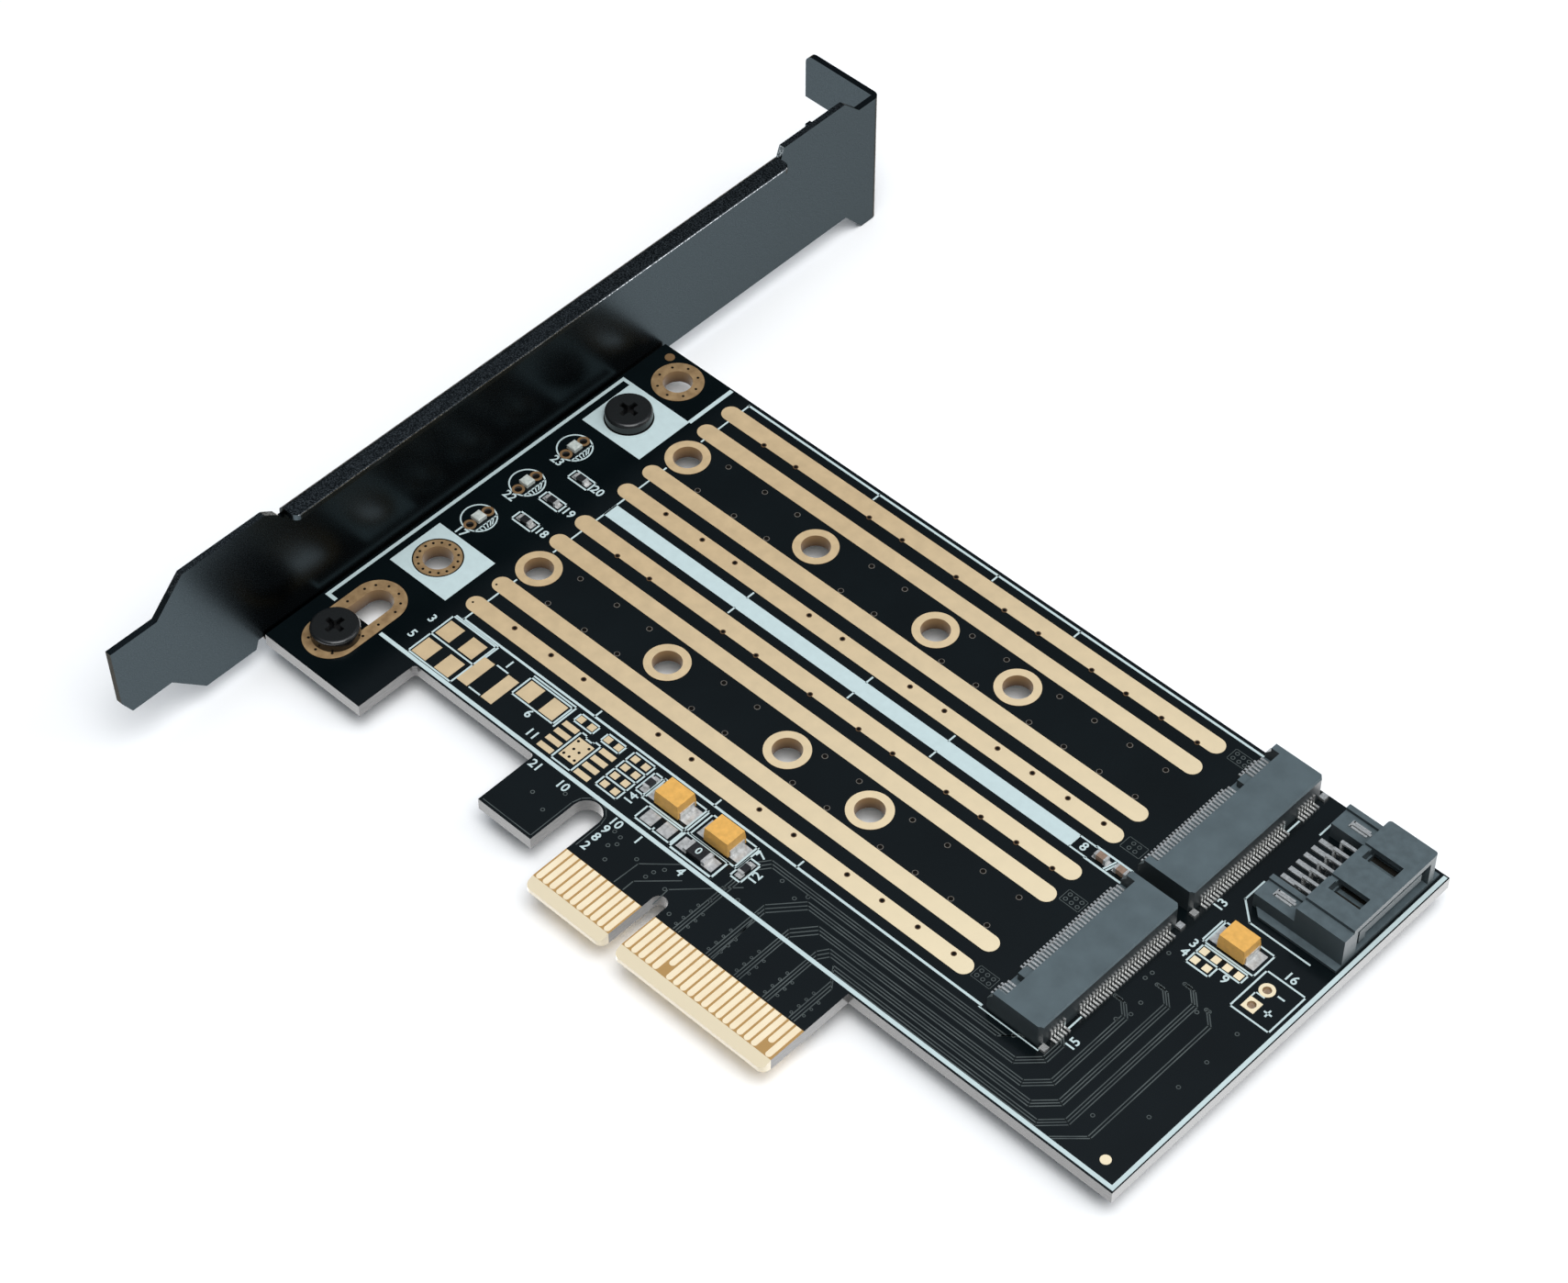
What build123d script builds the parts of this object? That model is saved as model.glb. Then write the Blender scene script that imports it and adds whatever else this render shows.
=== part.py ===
from build123d import *
import os

# Solid-state drive adapter card: a printed board with an edge connector, two drive sockets,
# a data header, and a bent sheet bracket held by two screws.
# Millimetres. X runs along the board away from the bracket, Y across it away from the edge
# connector, Z up from the component face. The origin is on the component face, at the centre
# of the stand-off hole nearest the bracket in the lower drive bay.

os.makedirs("parts", exist_ok=True)

# Layers of the board
board_t = 1.6
skin = 0.05                     # copper and tin lands
print_t = 0.03                  # printed fields and lines
barrel = 0.12                   # plating of a hole's wall

# Drive sockets
sock_len, sock_w, sock_h = 21.7, 7.2, 3.2
sock_setback, sock_wall = 1.8, 0.85             # roof behind the front edge, cheeks
sock_floor, sock_ceiling, sock_depth = 1.15, 2.15, 3.6
sock_rib, key_offsets = 1.2, {"lower": -6.0, "upper": 5.4}
tail_pitch, tail_w, tail_foot = 0.5, 0.24, 0.9

# Drive bays: the far-left stand-off hole of the lower bay is the origin
drive_lengths = (80.0, 60.0, 42.0, 30.0)
seat_depth = 3.9                # a drive's contact edge lies this far behind the socket's front
bay_gap = 1.93                  # between the two sockets
bay_pitch = sock_len + bay_gap
bay_rows = (0.0, bay_pitch)
standoff_x = [drive_lengths[0] - length for length in drive_lengths]
standoff_ring, standoff_hole = 5.3, 3.4
strip_w, strip_inner, strip_step = 2.27, 4.45, 3.98
strip_lead, strip_clear = 2.4, 4.2              # past the first hole, short of the sockets
stripe_w, stripe_lead, stripe_clear = 2.04, 0.7, 7.68

sock_front = drive_lengths[0] - seat_depth
sock_roof, sock_back = sock_front + sock_setback, sock_front + sock_w

# Data header: low rear wings, a shrouded body and seven contacts
header_gap = 4.0                # from the sockets
wing_len, body_len, header_w = 5.3, 6.4, 15.5
wing_h, step_h, roof_h, step_w = 2.1, 4.25, 4.7, 1.55
lug, lug_w = 0.4, 0.7
pin_pitch, pin_count, pin_w = 1.27, 7, 0.6
pin_low_clear, pin_high_clear = 0.49, 0.94      # contacts to the wings
pin_centre = header_w / 2 - 0.05
pin_reach = (pin_count - 1) * pin_pitch / 2 + pin_w / 2
wing_low_w = pin_centre - pin_reach - pin_low_clear
wing_high_w = header_w - pin_centre - pin_reach - pin_high_clear
shroud_wall, mouth_floor, mouth_roof = 1.1, 0.6, 0.75
window_w, window_pitch, rim_w = 1.8, 5.55, 1.4
flange_w, flange_h = 0.95, 0.35

# Board outline, from the bays outward
edge_gap = 0.95                 # from the header's front to the board's edge
top_margin, parts_strip = 0.52, 8.3             # beyond the sockets' ends
head_margin = 1.5               # from the header to the board's top edge
board_top = bay_pitch + sock_len / 2 + top_margin
board_low = -sock_len / 2 - parts_strip
hx0 = sock_back + header_gap
hx1 = hx0 + wing_len
hx2 = hx1 + body_len
board_right = hx2 + edge_gap
hy1 = board_top - head_margin
hy0 = hy1 - header_w

# Edge connector
key_x, key_w, key_rise = 42.53, 1.9, 8.7
contact_pitch, contact_w, contact_len = 1.0, 0.72, 4.45
contacts_short_side, contacts_long_side = 11, 21
key_side, tongue_margin = 1.5, 0.6              # key to contact, last contact to the side
tongue_drop, bevel_y, bevel_z = 12.75, 1.3, 0.5
tongue_low = board_low - tongue_drop
tongue_left = key_x - key_side - (contacts_short_side - 1) * contact_pitch - tongue_margin
tongue_right = key_x + key_side + (contacts_long_side - 1) * contact_pitch + tongue_margin + 0.05
contact_low = tongue_low + bevel_y + contact_w / 2 + 0.04

# Retention hook and bracket foot
hook_w, hook_gap = 7.9, 3.63
foot_len, foot_drop = 15.05, 8.29
foot_low = board_low - foot_drop
hook_right = tongue_left - hook_gap
hook_left = hook_right - hook_w

# Bracket
face_x, sheet = -15.0, 0.8      # face of the sheet towards the board
bracket_len, tip_drop = 119.35, 19.96
shoulder_z, lip_drop, lip_w = 17.1, 0.9, 1.95
lip_from_tip, lip_from_fold = 24.8, 17.55
rim_z, tail_drop = -1.15, 3.25
tab_len, tab_drop, tab_slot, tab_slot_depth = 11.43, 2.4, 4.42, 5.6
tongue_w_top, tongue_w_low = 4.25, 3.7          # cut off both sides of the bracket's tongue
board_left = face_x + 0.25
foot_right = board_left + foot_len
tip_y = foot_low - tip_drop
fold_y = tip_y + bracket_len
lip_z, tail_z, tab_top = shoulder_z - lip_drop, rim_z - tail_drop, shoulder_z - tab_drop

# Bracket screws and their holes
ear_reach = 5.7                 # from the bracket's face to the screws
screw_from_foot, screw_spacing = 5.44, 45.5
spare_from_screw, spare_spacing = 15.4, 38.1
bolt_ring, bolt_hole, slot_run = 6.2, 3.5, 7.0
head_d, head_h, shank_d, screw_tip = 5.6, 1.4, 2.9, -3.6
ear_w, ear_front = 8.4, 3.4
ear_x = face_x + ear_reach
screw_y_low = foot_low + screw_from_foot
screw_y_high = screw_y_low + screw_spacing
spare_hole_low = screw_y_low + spare_from_screw
spare_hole_high = spare_hole_low + spare_spacing
slot_low = screw_y_low - 0.65
slot_top = slot_low + slot_run

# Small parts
case_l, case_w, case_h, case_lift, leg_t = 3.5, 2.8, 1.95, 0.1, 0.12
chip_l, chip_w, chip_h, cap_l, chip_cap_h = 1.6, 0.8, 0.45, 0.3, 0.7
link_l, link_w, link_h, link_cap = 3.1, 1.55, 0.55, 0.5
lamp_l, lamp_w, lamp_h, lamp_pitch, led_hole_gap, led_hole = 1.3, 1.25, 0.6, 7.55, 2.8, 0.9
pin_hole, power_pitch, power_drop = 1.0, 2.5, 8.7     # the pair's middle below the header


def save(builder, name):
    builder.part.label = name
    export_step(builder.part, f"parts/{name}.step")


def plate(x0, x1, y0, y1):
    """A rectangle on the current sketch, given by its limits."""
    with Locations(((x0 + x1) / 2, (y0 + y1) / 2)):
        return Rectangle(x1 - x0, y1 - y0)


def box(x0, x1, y0, y1, z0, z1, mode=Mode.ADD):
    """A block in the current part, given by its limits."""
    with Locations(((x0 + x1) / 2, (y0 + y1) / 2, (z0 + z1) / 2)):
        return Box(x1 - x0, y1 - y0, z1 - z0, mode=mode)


def bars(ys, x0, x1, width, z0, z1):
    """Equal bars along X at the given Y places."""
    with Locations(*[((x0 + x1) / 2, y, (z0 + z1) / 2) for y in ys]):
        Box(x1 - x0, width, z1 - z0)


standoffs = [(x, y) for x in standoff_x for y in bay_rows]
bolt_holes = [(ear_x, spare_hole_high), (ear_x, screw_y_high), (ear_x, spare_hole_low)]
led_x, led_first = ear_x - 1.1, spare_hole_low + 7.35
led_y = [led_first + i * lamp_pitch for i in range(3)]
led_holes = [(led_x, y + s * led_hole_gap / 2) for y in led_y for s in (-1, 1)]
power_x, power_y = hx1 + 2.75, hy0 - power_drop
power_holes = [(power_x, power_y + power_pitch / 2), (power_x, power_y - power_pitch / 2)]

# Printed board: outline with the bracket foot, the retention hook and the connector tongue
slot_r = hook_gap / 2
slot_cx, slot_cy = hook_right + slot_r, board_low - slot_r
key_top = tongue_low + key_rise
with BuildPart() as circuit_board:
    with BuildSketch(Plane.XY.offset(-board_t)) as outline:
        with BuildLine():
            Polyline((board_left, board_top), (board_left, foot_low), (foot_right, foot_low),
                     (foot_right, board_low), (hook_left, board_low), (hook_left, foot_low),
                     (hook_right, foot_low), (hook_right, slot_cy))
            ThreePointArc((hook_right, slot_cy), (slot_cx, board_low), (tongue_left, slot_cy))
            Polyline((tongue_left, slot_cy), (tongue_left, tongue_low), (tongue_right, tongue_low),
                     (tongue_right, board_low), (board_right, board_low), (board_right, board_top),
                     (board_left, board_top))
        make_face()
        with Locations((key_x, key_top - key_rise)):
            SlotCenterToCenter(2 * key_rise - key_w, key_w, rotation=90, mode=Mode.SUBTRACT)
        nose = outline.vertices().group_by(Axis.Y)[0]
        fillet(nose, bevel_y * 0.6)
        inner = [v for v in outline.vertices()
                 if abs(v.Y - board_low) < 0.01 and v.X < hook_left + 0.1]
        fillet(inner, 0.5)
        with Locations(*standoffs):
            Circle(standoff_hole / 2 + barrel, mode=Mode.SUBTRACT)
        with Locations(*bolt_holes):
            Circle(bolt_hole / 2 + barrel, mode=Mode.SUBTRACT)
        with Locations((ear_x, (slot_top + slot_low) / 2)):
            SlotCenterToCenter(slot_run, bolt_hole + 2 * barrel, rotation=90, mode=Mode.SUBTRACT)
        with Locations(*led_holes):
            Circle(led_hole / 2, mode=Mode.SUBTRACT)
        with Locations(*power_holes):
            Circle(pin_hole / 2, mode=Mode.SUBTRACT)
    extrude(amount=board_t)
    # Bevelled nose on both faces of the connector tongue
    for face, sign in ((0, -1), (-board_t, 1)):
        with BuildSketch(Plane.YZ.offset(tongue_left - 1)):
            Polygon((tongue_low + bevel_y, face), (tongue_low - 1, face + sign * bevel_z * (1 + 1 / bevel_y)),
                    (tongue_low - 1, face - sign), (tongue_low + bevel_y, face - sign), align=None)
        extrude(amount=tongue_right - tongue_left + 2, mode=Mode.SUBTRACT)
save(circuit_board, "circuit_board")


def eyelet(inner, ring, centres):
    """Plated hole linings with a land on each face of the board."""
    with Locations(*[(x, y, 0) for x, y in centres]):
        with Locations((0, 0, skin / 2), (0, 0, -board_t - skin / 2)):
            Cylinder(ring / 2, skin)
        with Locations((0, 0, -board_t / 2)):
            Cylinder(inner / 2 + barrel, board_t)
        with Locations((0, 0, -board_t / 2)):
            Cylinder(inner / 2, board_t + 4 * skin, mode=Mode.SUBTRACT)


with BuildPart() as bay_hole_linings:
    eyelet(standoff_hole, standoff_ring, standoffs)
save(bay_hole_linings, "bay_hole_linings")

with BuildPart() as bracket_hole_linings:
    eyelet(bolt_hole, bolt_ring, bolt_holes)
save(bracket_hole_linings, "bracket_hole_linings")

with BuildPart() as bracket_slot_lining:
    slot_ring = bolt_ring + 0.3
    for level, thick, width in ((0, skin, slot_ring), (-board_t - skin, skin, slot_ring),
                                (-board_t, board_t, bolt_hole + 2 * barrel)):
        with BuildSketch(Plane.XY.offset(level)):
            with Locations((ear_x, (slot_top + slot_low) / 2)):
                SlotCenterToCenter(slot_run, width, rotation=90)
        extrude(amount=thick)
    with BuildSketch(Plane.XY.offset(-board_t - 2 * skin)):
        with Locations((ear_x, (slot_top + slot_low) / 2)):
            SlotCenterToCenter(slot_run, bolt_hole, rotation=90)
    extrude(amount=board_t + 4 * skin, mode=Mode.SUBTRACT)
save(bracket_slot_lining, "bracket_slot_lining")

# Bare plated strips that carry heat away from the drives
strip_start, strip_end = -strip_lead, sock_front - strip_clear
with BuildPart() as heat_strips:
    with BuildSketch(Plane.XY):
        for row in bay_rows:
            for place in (strip_inner, strip_inner + strip_step):
                with Locations(((strip_start + strip_end) / 2, row + place),
                               ((strip_start + strip_end) / 2, row - place)):
                    SlotOverall(strip_end - strip_start, strip_w)
    extrude(amount=skin)
save(heat_strips, "heat_strips")

# Edge contacts: rounded at the nose, eleven on one side of the key and the rest on the other
first_x = key_x - key_side - (contacts_short_side - 1) * contact_pitch
contact_xs = [first_x + i * contact_pitch for i in range(contacts_short_side)]
contact_xs += [key_x + key_side + i * contact_pitch for i in range(contacts_long_side)]
short_contacts = (contacts_short_side + 5, contacts_short_side + 19)
for name, level, short in (("edge_contacts_front", 0, short_contacts),
                           ("edge_contacts_back", -board_t - skin, (0,))):
    with BuildPart() as edge_contacts:
        with BuildSketch(Plane.XY.offset(level)):
            for i, x in enumerate(contact_xs):
                low = contact_low + (contact_len / 3 if i in short else 0)
                plate(x - contact_w / 2, x + contact_w / 2, low, contact_low + contact_len)
                with Locations((x, low)):
                    Circle(contact_w / 2)
        extrude(amount=skin)
    save(edge_contacts, name)

# Row of small parts along the low edge: Y places count from that edge, X from the origin
row = board_low
reg_x, reg_y, reg_pitch = 21.775, row + 3.5, 1.27            # eight-contact part left unplaced
grid_x, grid_y, grid_pitch = 27.95, row + 4.7, 1.54          # eight small lands in pairs
tantalums = {"1": (34.55, row + 5.55), "2": (41.85, row + 5.55), "3": (hx0 + 2.5, power_y + 3.4)}
resistors = {"1": (ear_x + 3.1, led_first + 3.25, 0), "2": (ear_x + 3.1, led_first + 7.45, 0),
             "3": (ear_x + 3.1, led_first + 12.05, 0), "4": (30.75, row + 5.65, 90), "5": (46.05, row + 4.25, 90)}
chip_caps = {"1": (sock_front - 4.05, bay_pitch / 2), "2": (sock_front - 1.35, bay_pitch / 2)}
link_x, link_y = 41.05, row + 2.4
open_pair_x, open_pair_y = 35.175, row + 2.45

# Bare gold lands: unused part positions, fiducials, and the collars of the small holes
with BuildPart() as bare_lands:
    with BuildSketch(Plane.XY):
        with Locations((-0.365, row + 5.925), (3.18, row + 5.925)):
            Rectangle(2.17, 2.45)
        with Locations((-0.365, row + 2.45), (3.18, row + 2.45)):
            Rectangle(2.17, 2.6)
        with Locations((5.835, row + 3.875), (9.6, row + 3.875)):
            Rectangle(1.62, 4.25)
        with Locations((12.25, row + 5.9), (15.785, row + 5.9)):
            Rectangle(2.1, 2.5)
        for i in range(4):
            with Locations((reg_x - 2.8, reg_y + (i - 1.5) * reg_pitch), (reg_x + 2.8, reg_y + (i - 1.5) * reg_pitch)):
                Rectangle(2.05, 0.74)
            with Locations((grid_x - 0.78, grid_y + (i - 1.5) * grid_pitch),
                           (grid_x + 0.78, grid_y + (i - 1.5) * grid_pitch)):
                Rectangle(0.86, 0.82)
        with Locations((reg_x, reg_y)):
            Rectangle(2.3, 3.15)
        with Locations(*[(reg_x + dx, row + 6.95) for dx in (-2.725, -1.125, 1.375, 2.925)]):
            Rectangle(0.84, 0.84)
        with Locations(*[(hx0 + dx, power_y + 0.66) for dx in (0.25, 1.8, 3.3, 4.8)],
                       *[(hx0 + dx, power_y - 0.84) for dx in (0.25, 1.8)]):
            Rectangle(0.86, 0.88)
        with Locations((board_left + 1.95, board_top - 1.25), (board_right - 3.05, board_low + 2.6)):
            Circle(0.6)
        with Locations(*led_holes):
            Circle(led_hole / 2 + 0.3)
            Circle(led_hole / 2, mode=Mode.SUBTRACT)
        with Locations(power_holes[0]):
            Circle(pin_hole / 2 + 0.4)
        with Locations(power_holes[1]):
            Rectangle(pin_hole + 0.65, pin_hole + 0.65)
        with Locations(*power_holes):
            Circle(pin_hole / 2, mode=Mode.SUBTRACT)
    extrude(amount=skin)
save(bare_lands, "bare_lands")

# Tinned lands under the parts that are soldered to the board
with BuildPart() as tinned_lands:
    with BuildSketch(Plane.XY):
        for cx, cy in tantalums.values():
            with Locations((cx - case_l / 2 - 0.45, cy), (cx + case_l / 2 + 0.45, cy)):
                Rectangle(1.5, case_w - 0.4)
        for cx, cy, turn in resistors.values():
            with Locations(Location((cx, cy, 0), (0, 0, turn))):
                with Locations((-chip_l / 2 - 0.05, 0), (chip_l / 2 + 0.05, 0)):
                    Rectangle(cap_l + 0.45, chip_w + 0.05)
        for cx, cy in chip_caps.values():
            with Locations((cx - chip_l / 2 + 0.05, cy), (cx + chip_l / 2 - 0.05, cy)):
                Rectangle(cap_l + 0.3, chip_w + 0.05)
        with Locations((open_pair_x - 1.225, open_pair_y), (open_pair_x + 1.225, open_pair_y)):
            Rectangle(1.66, 1.7)
        with Locations((link_x - link_l / 2 - 0.3, link_y), (link_x + link_l / 2 + 0.3, link_y)):
            Rectangle(link_cap + 1.0, link_w + 0.1)
    extrude(amount=skin)
save(tinned_lands, "tinned_lands")

# Printed fields and border lines, kept clear of the lands
field_right, field_clear = ear_x + 5.52, 0.1
line_w, line_inset = 0.5, 0.15
with BuildPart() as printed_fields:
    with BuildSketch(Plane.XY):
        plate(ear_x - 3.7, field_right, screw_y_high - 3.9, screw_y_high + 4.24)
        plate(ear_x - 3.74, ear_x + 5.2, spare_hole_low - 3.84, spare_hole_low + 3.82)
        with Locations((ear_x, screw_y_high), (ear_x, spare_hole_low)):
            Circle(bolt_ring / 2 + field_clear, mode=Mode.SUBTRACT)
    extrude(amount=print_t)
save(printed_fields, "printed_fields")

with BuildPart() as printed_centre_stripe:
    with BuildSketch(Plane.XY):
        plate(-stripe_lead, sock_front - stripe_clear, bay_pitch / 2 - stripe_w / 2, bay_pitch / 2 + stripe_w / 2)
    extrude(amount=print_t)
save(printed_centre_stripe, "printed_centre_stripe")

border_x, border_top, border_low = board_left + 0.33, screw_y_high + 4.24, board_low + 0.25
with BuildPart() as printed_border:
    with BuildSketch(Plane.XY):
        plate(border_x, border_x + line_w - 0.06, border_low, border_top)
        plate(border_x, ear_x - 3.7, border_top - line_w + 0.06, border_top)
        plate(field_right - 0.24, field_right + line_w - 0.22, border_top, board_top - 0.25)
        plate(border_x, ear_x - slot_ring / 2 - 0.35, border_low, border_low + line_w)
        plate(ear_x + slot_ring / 2 + 0.3, board_right - line_inset, border_low, border_low + line_w)
        plate(board_right - line_inset - line_w, board_right - line_inset, border_low + line_w, board_top - 0.2)
    extrude(amount=print_t)
save(printed_border, "printed_border")

# Bracket: one bent sheet with a stiffening lip, a slotted tab and two tapped ears
lip_start, lip_end = tip_y + lip_from_tip, fold_y - lip_from_fold
lip_root = lip_z - 1.2
tongue_top, tongue_floor = shoulder_z - tongue_w_top, rim_z + tongue_w_low
heel_y = tip_y + 11.5           # where the tongue widens to the case's slot
with BuildPart() as mounting_bracket:
    with BuildSketch(Plane.YZ.offset(face_x - sheet)) as profile:
        with BuildLine():
            Polyline((tip_y, tongue_top), (tip_y + 0.35, tongue_floor + 2.15), (tip_y + 1.6, tongue_floor),
                     (tip_y + 7.1, tongue_floor), (heel_y, rim_z - 0.55), (foot_low - 1.26, rim_z - 0.55),
                     (foot_low - 0.81, rim_z + 0.7), (foot_low - 0.06, rim_z + 0.7), (foot_low + 0.14, rim_z),
                     (fold_y - 5.75, rim_z), (fold_y - 2.85, tail_z), (fold_y, tail_z), (fold_y, tab_top),
                     (fold_y - 3.75, tab_top), (fold_y - 6.25, shoulder_z), (lip_end + 1.0, shoulder_z),
                     (lip_end + 0.4, lip_z - 0.6), (lip_end, lip_root), (lip_start - 0.3, lip_root),
                     (lip_start - 1.0, lip_z - 0.2), (lip_start - 2.6, shoulder_z), (tip_y + 10.5, shoulder_z),
                     (tip_y + 6.4, tongue_top), (tip_y, tongue_top))
        make_face()
        corners = profile.vertices()
        fillet([v for v in corners if v.Y < tip_y + 7 and v.Z > tongue_top - 0.5], 0.9)
        fillet([v for v in profile.vertices() if tip_y + 0.9 < v.Y < foot_low - 1.2 and v.Z < tongue_floor + 0.4], 0.8)
        fillet([v for v in profile.vertices() if tip_y + 10 < v.Y < lip_start - 1.5 and v.Z > shoulder_z - 0.1], 0.8)
        fillet([v for v in profile.vertices() if fold_y - 6 < v.Y < fold_y - 2.7 and v.Z < 0], 0.6)
    extrude(amount=sheet)
    # Lip rolled over towards the board
    outer = face_x - sheet
    with BuildSketch(Plane.XZ.offset(-lip_end)):
        with BuildLine():
            Polyline((outer + sheet, lip_z), (face_x + lip_w, lip_z), (face_x + lip_w, lip_z - sheet),
                     (face_x, lip_z - sheet), (face_x, lip_root), (outer, lip_root), (outer, lip_z - sheet))
            RadiusArc((outer, lip_z - sheet), (outer + sheet, lip_z), sheet)
        make_face()
    extrude(amount=lip_end - lip_start)
    fillet(mounting_bracket.edges().filter_by(Axis.Z).filter_by_position(Axis.X, face_x + lip_w - 0.01,
                                                                         face_x + lip_w + 0.01), 0.9)
    box(face_x - tab_len, face_x, fold_y - sheet, fold_y, tail_z, tab_top)
    fillet(mounting_bracket.edges().filter_by(Axis.Z).filter_by_position(Axis.X, face_x - 0.01, face_x + 0.01)
           .filter_by_position(Axis.Y, fold_y - 0.01, fold_y + 0.01), sheet * 1.25)
    # Tab: corners rounded, and a slot for the case screw open at its tip
    fillet(mounting_bracket.edges().filter_by(Axis.Y).filter_by_position(Axis.X, face_x - tab_len - 0.01,
                                                                         face_x - tab_len + 0.01), 1.2)
    with BuildSketch(Plane.XZ.offset(-fold_y - 1)):
        with Locations((face_x - tab_len, (tail_z + tab_top) / 2 + 0.75)):
            SlotCenterToCenter(2 * tab_slot_depth, tab_slot)
    extrude(amount=sheet + 2, mode=Mode.SUBTRACT)
    # Ears folded under the board, and their tapped holes
    ear_z = -board_t - skin
    for y in (screw_y_high, screw_y_low):
        box(outer, ear_x + ear_front, y - ear_w / 2, y + ear_w / 2, ear_z - sheet, ear_z)
        box(outer, face_x, y - ear_w / 2, y + ear_w / 2, ear_z - sheet, rim_z + 0.2)
        with Locations((ear_x, y, ear_z - sheet / 2)):
            Cylinder(shank_d / 2 + 0.05, sheet + 1, mode=Mode.SUBTRACT)
    ear_folds = mounting_bracket.edges().filter_by(Axis.Y).filter_by(
        lambda e: abs(e.center().X - outer) < 0.01 and abs(e.center().Z - ear_z + sheet) < 0.01)
    fillet(ear_folds, sheet * 0.75)
save(mounting_bracket, "mounting_bracket")

# Bracket screws: low pan heads with a cross recess
recess_l, recess_w, recess_z = 2.5, 0.65, 0.85
for name, y in (("bracket_screw_high", screw_y_high), ("bracket_screw_low", screw_y_low)):
    with BuildPart() as screw:
        with Locations((ear_x, y, skin + head_h / 2)):
            Cylinder(head_d / 2, head_h)
        fillet(screw.edges().sort_by(Axis.Z)[-1], head_h * 0.28)
        with Locations((ear_x, y, (skin + screw_tip) / 2)):
            Cylinder(shank_d / 2, skin - screw_tip)
        with Locations((ear_x, y, skin + head_h)):
            Box(recess_l, recess_w, 2 * recess_z, mode=Mode.SUBTRACT)
            Box(recess_w, recess_l, 2 * recess_z, mode=Mode.SUBTRACT)
            Box(1.2, 1.2, 2 * recess_z, rotation=(0, 0, 45), mode=Mode.SUBTRACT)
    save(screw, name)

# Drive sockets: a housing open towards the bays, two rows of contacts and solder feet
for side, cy in (("lower", bay_rows[0]), ("upper", bay_rows[1])):
    key = cy + key_offsets[side]
    y0, y1 = cy - sock_len / 2, cy + sock_len / 2
    slot_end = sock_roof + sock_depth
    with BuildPart() as housing:
        box(sock_front, sock_back, y0, y1, 0, sock_h)
        box(sock_front - 1, sock_roof, y0 + sock_wall, y1 - sock_wall, sock_floor, sock_h + 1, Mode.SUBTRACT)
        box(sock_front - 1, slot_end, y0 + sock_wall, y1 - sock_wall, sock_floor, sock_ceiling, Mode.SUBTRACT)
        box(sock_front + 0.4, slot_end, key - sock_rib / 2, key + sock_rib / 2, sock_floor - 0.1,
            sock_ceiling + 0.1)
        # Cheeks cut back towards the front
        for ya, yb in ((y0 - 1, y0 + sock_wall), (y1 - sock_wall, y1 + 1)):
            with BuildSketch(Plane.XZ.offset(-ya)):
                Polygon((sock_front - 0.1, sock_floor + 0.6), (sock_front - 0.1, sock_h + 0.1),
                        (sock_front + 0.7, sock_h + 0.1), (sock_front + 0.7, sock_h - 0.5), align=None)
            extrude(amount=ya - yb, mode=Mode.SUBTRACT)
        chamfer(housing.edges().filter_by(Axis.Y).group_by(Axis.X)[-1].group_by(Axis.Z)[-1], 0.2)
        chamfer(housing.edges().filter_by(Axis.Z).filter_by_position(Axis.X, sock_back - 0.01, sock_back + 0.01), 0.4)
    save(housing, f"drive_socket_{side}_housing")

    count = int((sock_len - 2.4) / tail_pitch)
    rows = [cy - (count - 1) * tail_pitch / 2 + i * tail_pitch for i in range(count)]
    clear = [y for y in rows if abs(y - key) > sock_rib - 0.1]
    front = [y + tail_pitch / 2 for y in clear
             if abs(y + tail_pitch / 2 - key) > sock_rib - 0.2 and y < y1 - sock_wall - 0.5]
    with BuildPart() as back_contacts:
        bars(clear, sock_back, sock_back + 0.18, tail_w, 0, sock_h / 2 - 0.1)
        bars(clear, sock_back + 0.18, sock_back + tail_foot, tail_w, 0, 0.2)
    save(back_contacts, f"drive_socket_{side}_back_contacts")
    with BuildPart() as front_contacts:
        bars(front, sock_front - tail_foot - 0.05, sock_front, tail_w, 0, 0.2)
        bars(front, sock_front + 0.5, sock_roof + 1.5, tail_w, sock_floor, sock_floor + 0.18)
    save(front_contacts, f"drive_socket_{side}_front_contacts")
    with BuildPart() as feet:
        for ya, yb in ((y0 - 0.25, y0 + 0.55), (y1 - 0.55, y1 + 0.25)):
            box(sock_back, sock_back + tail_foot - 0.15, ya, yb, 0, 0.35)
    save(feet, f"drive_socket_{side}_solder_feet")

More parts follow.
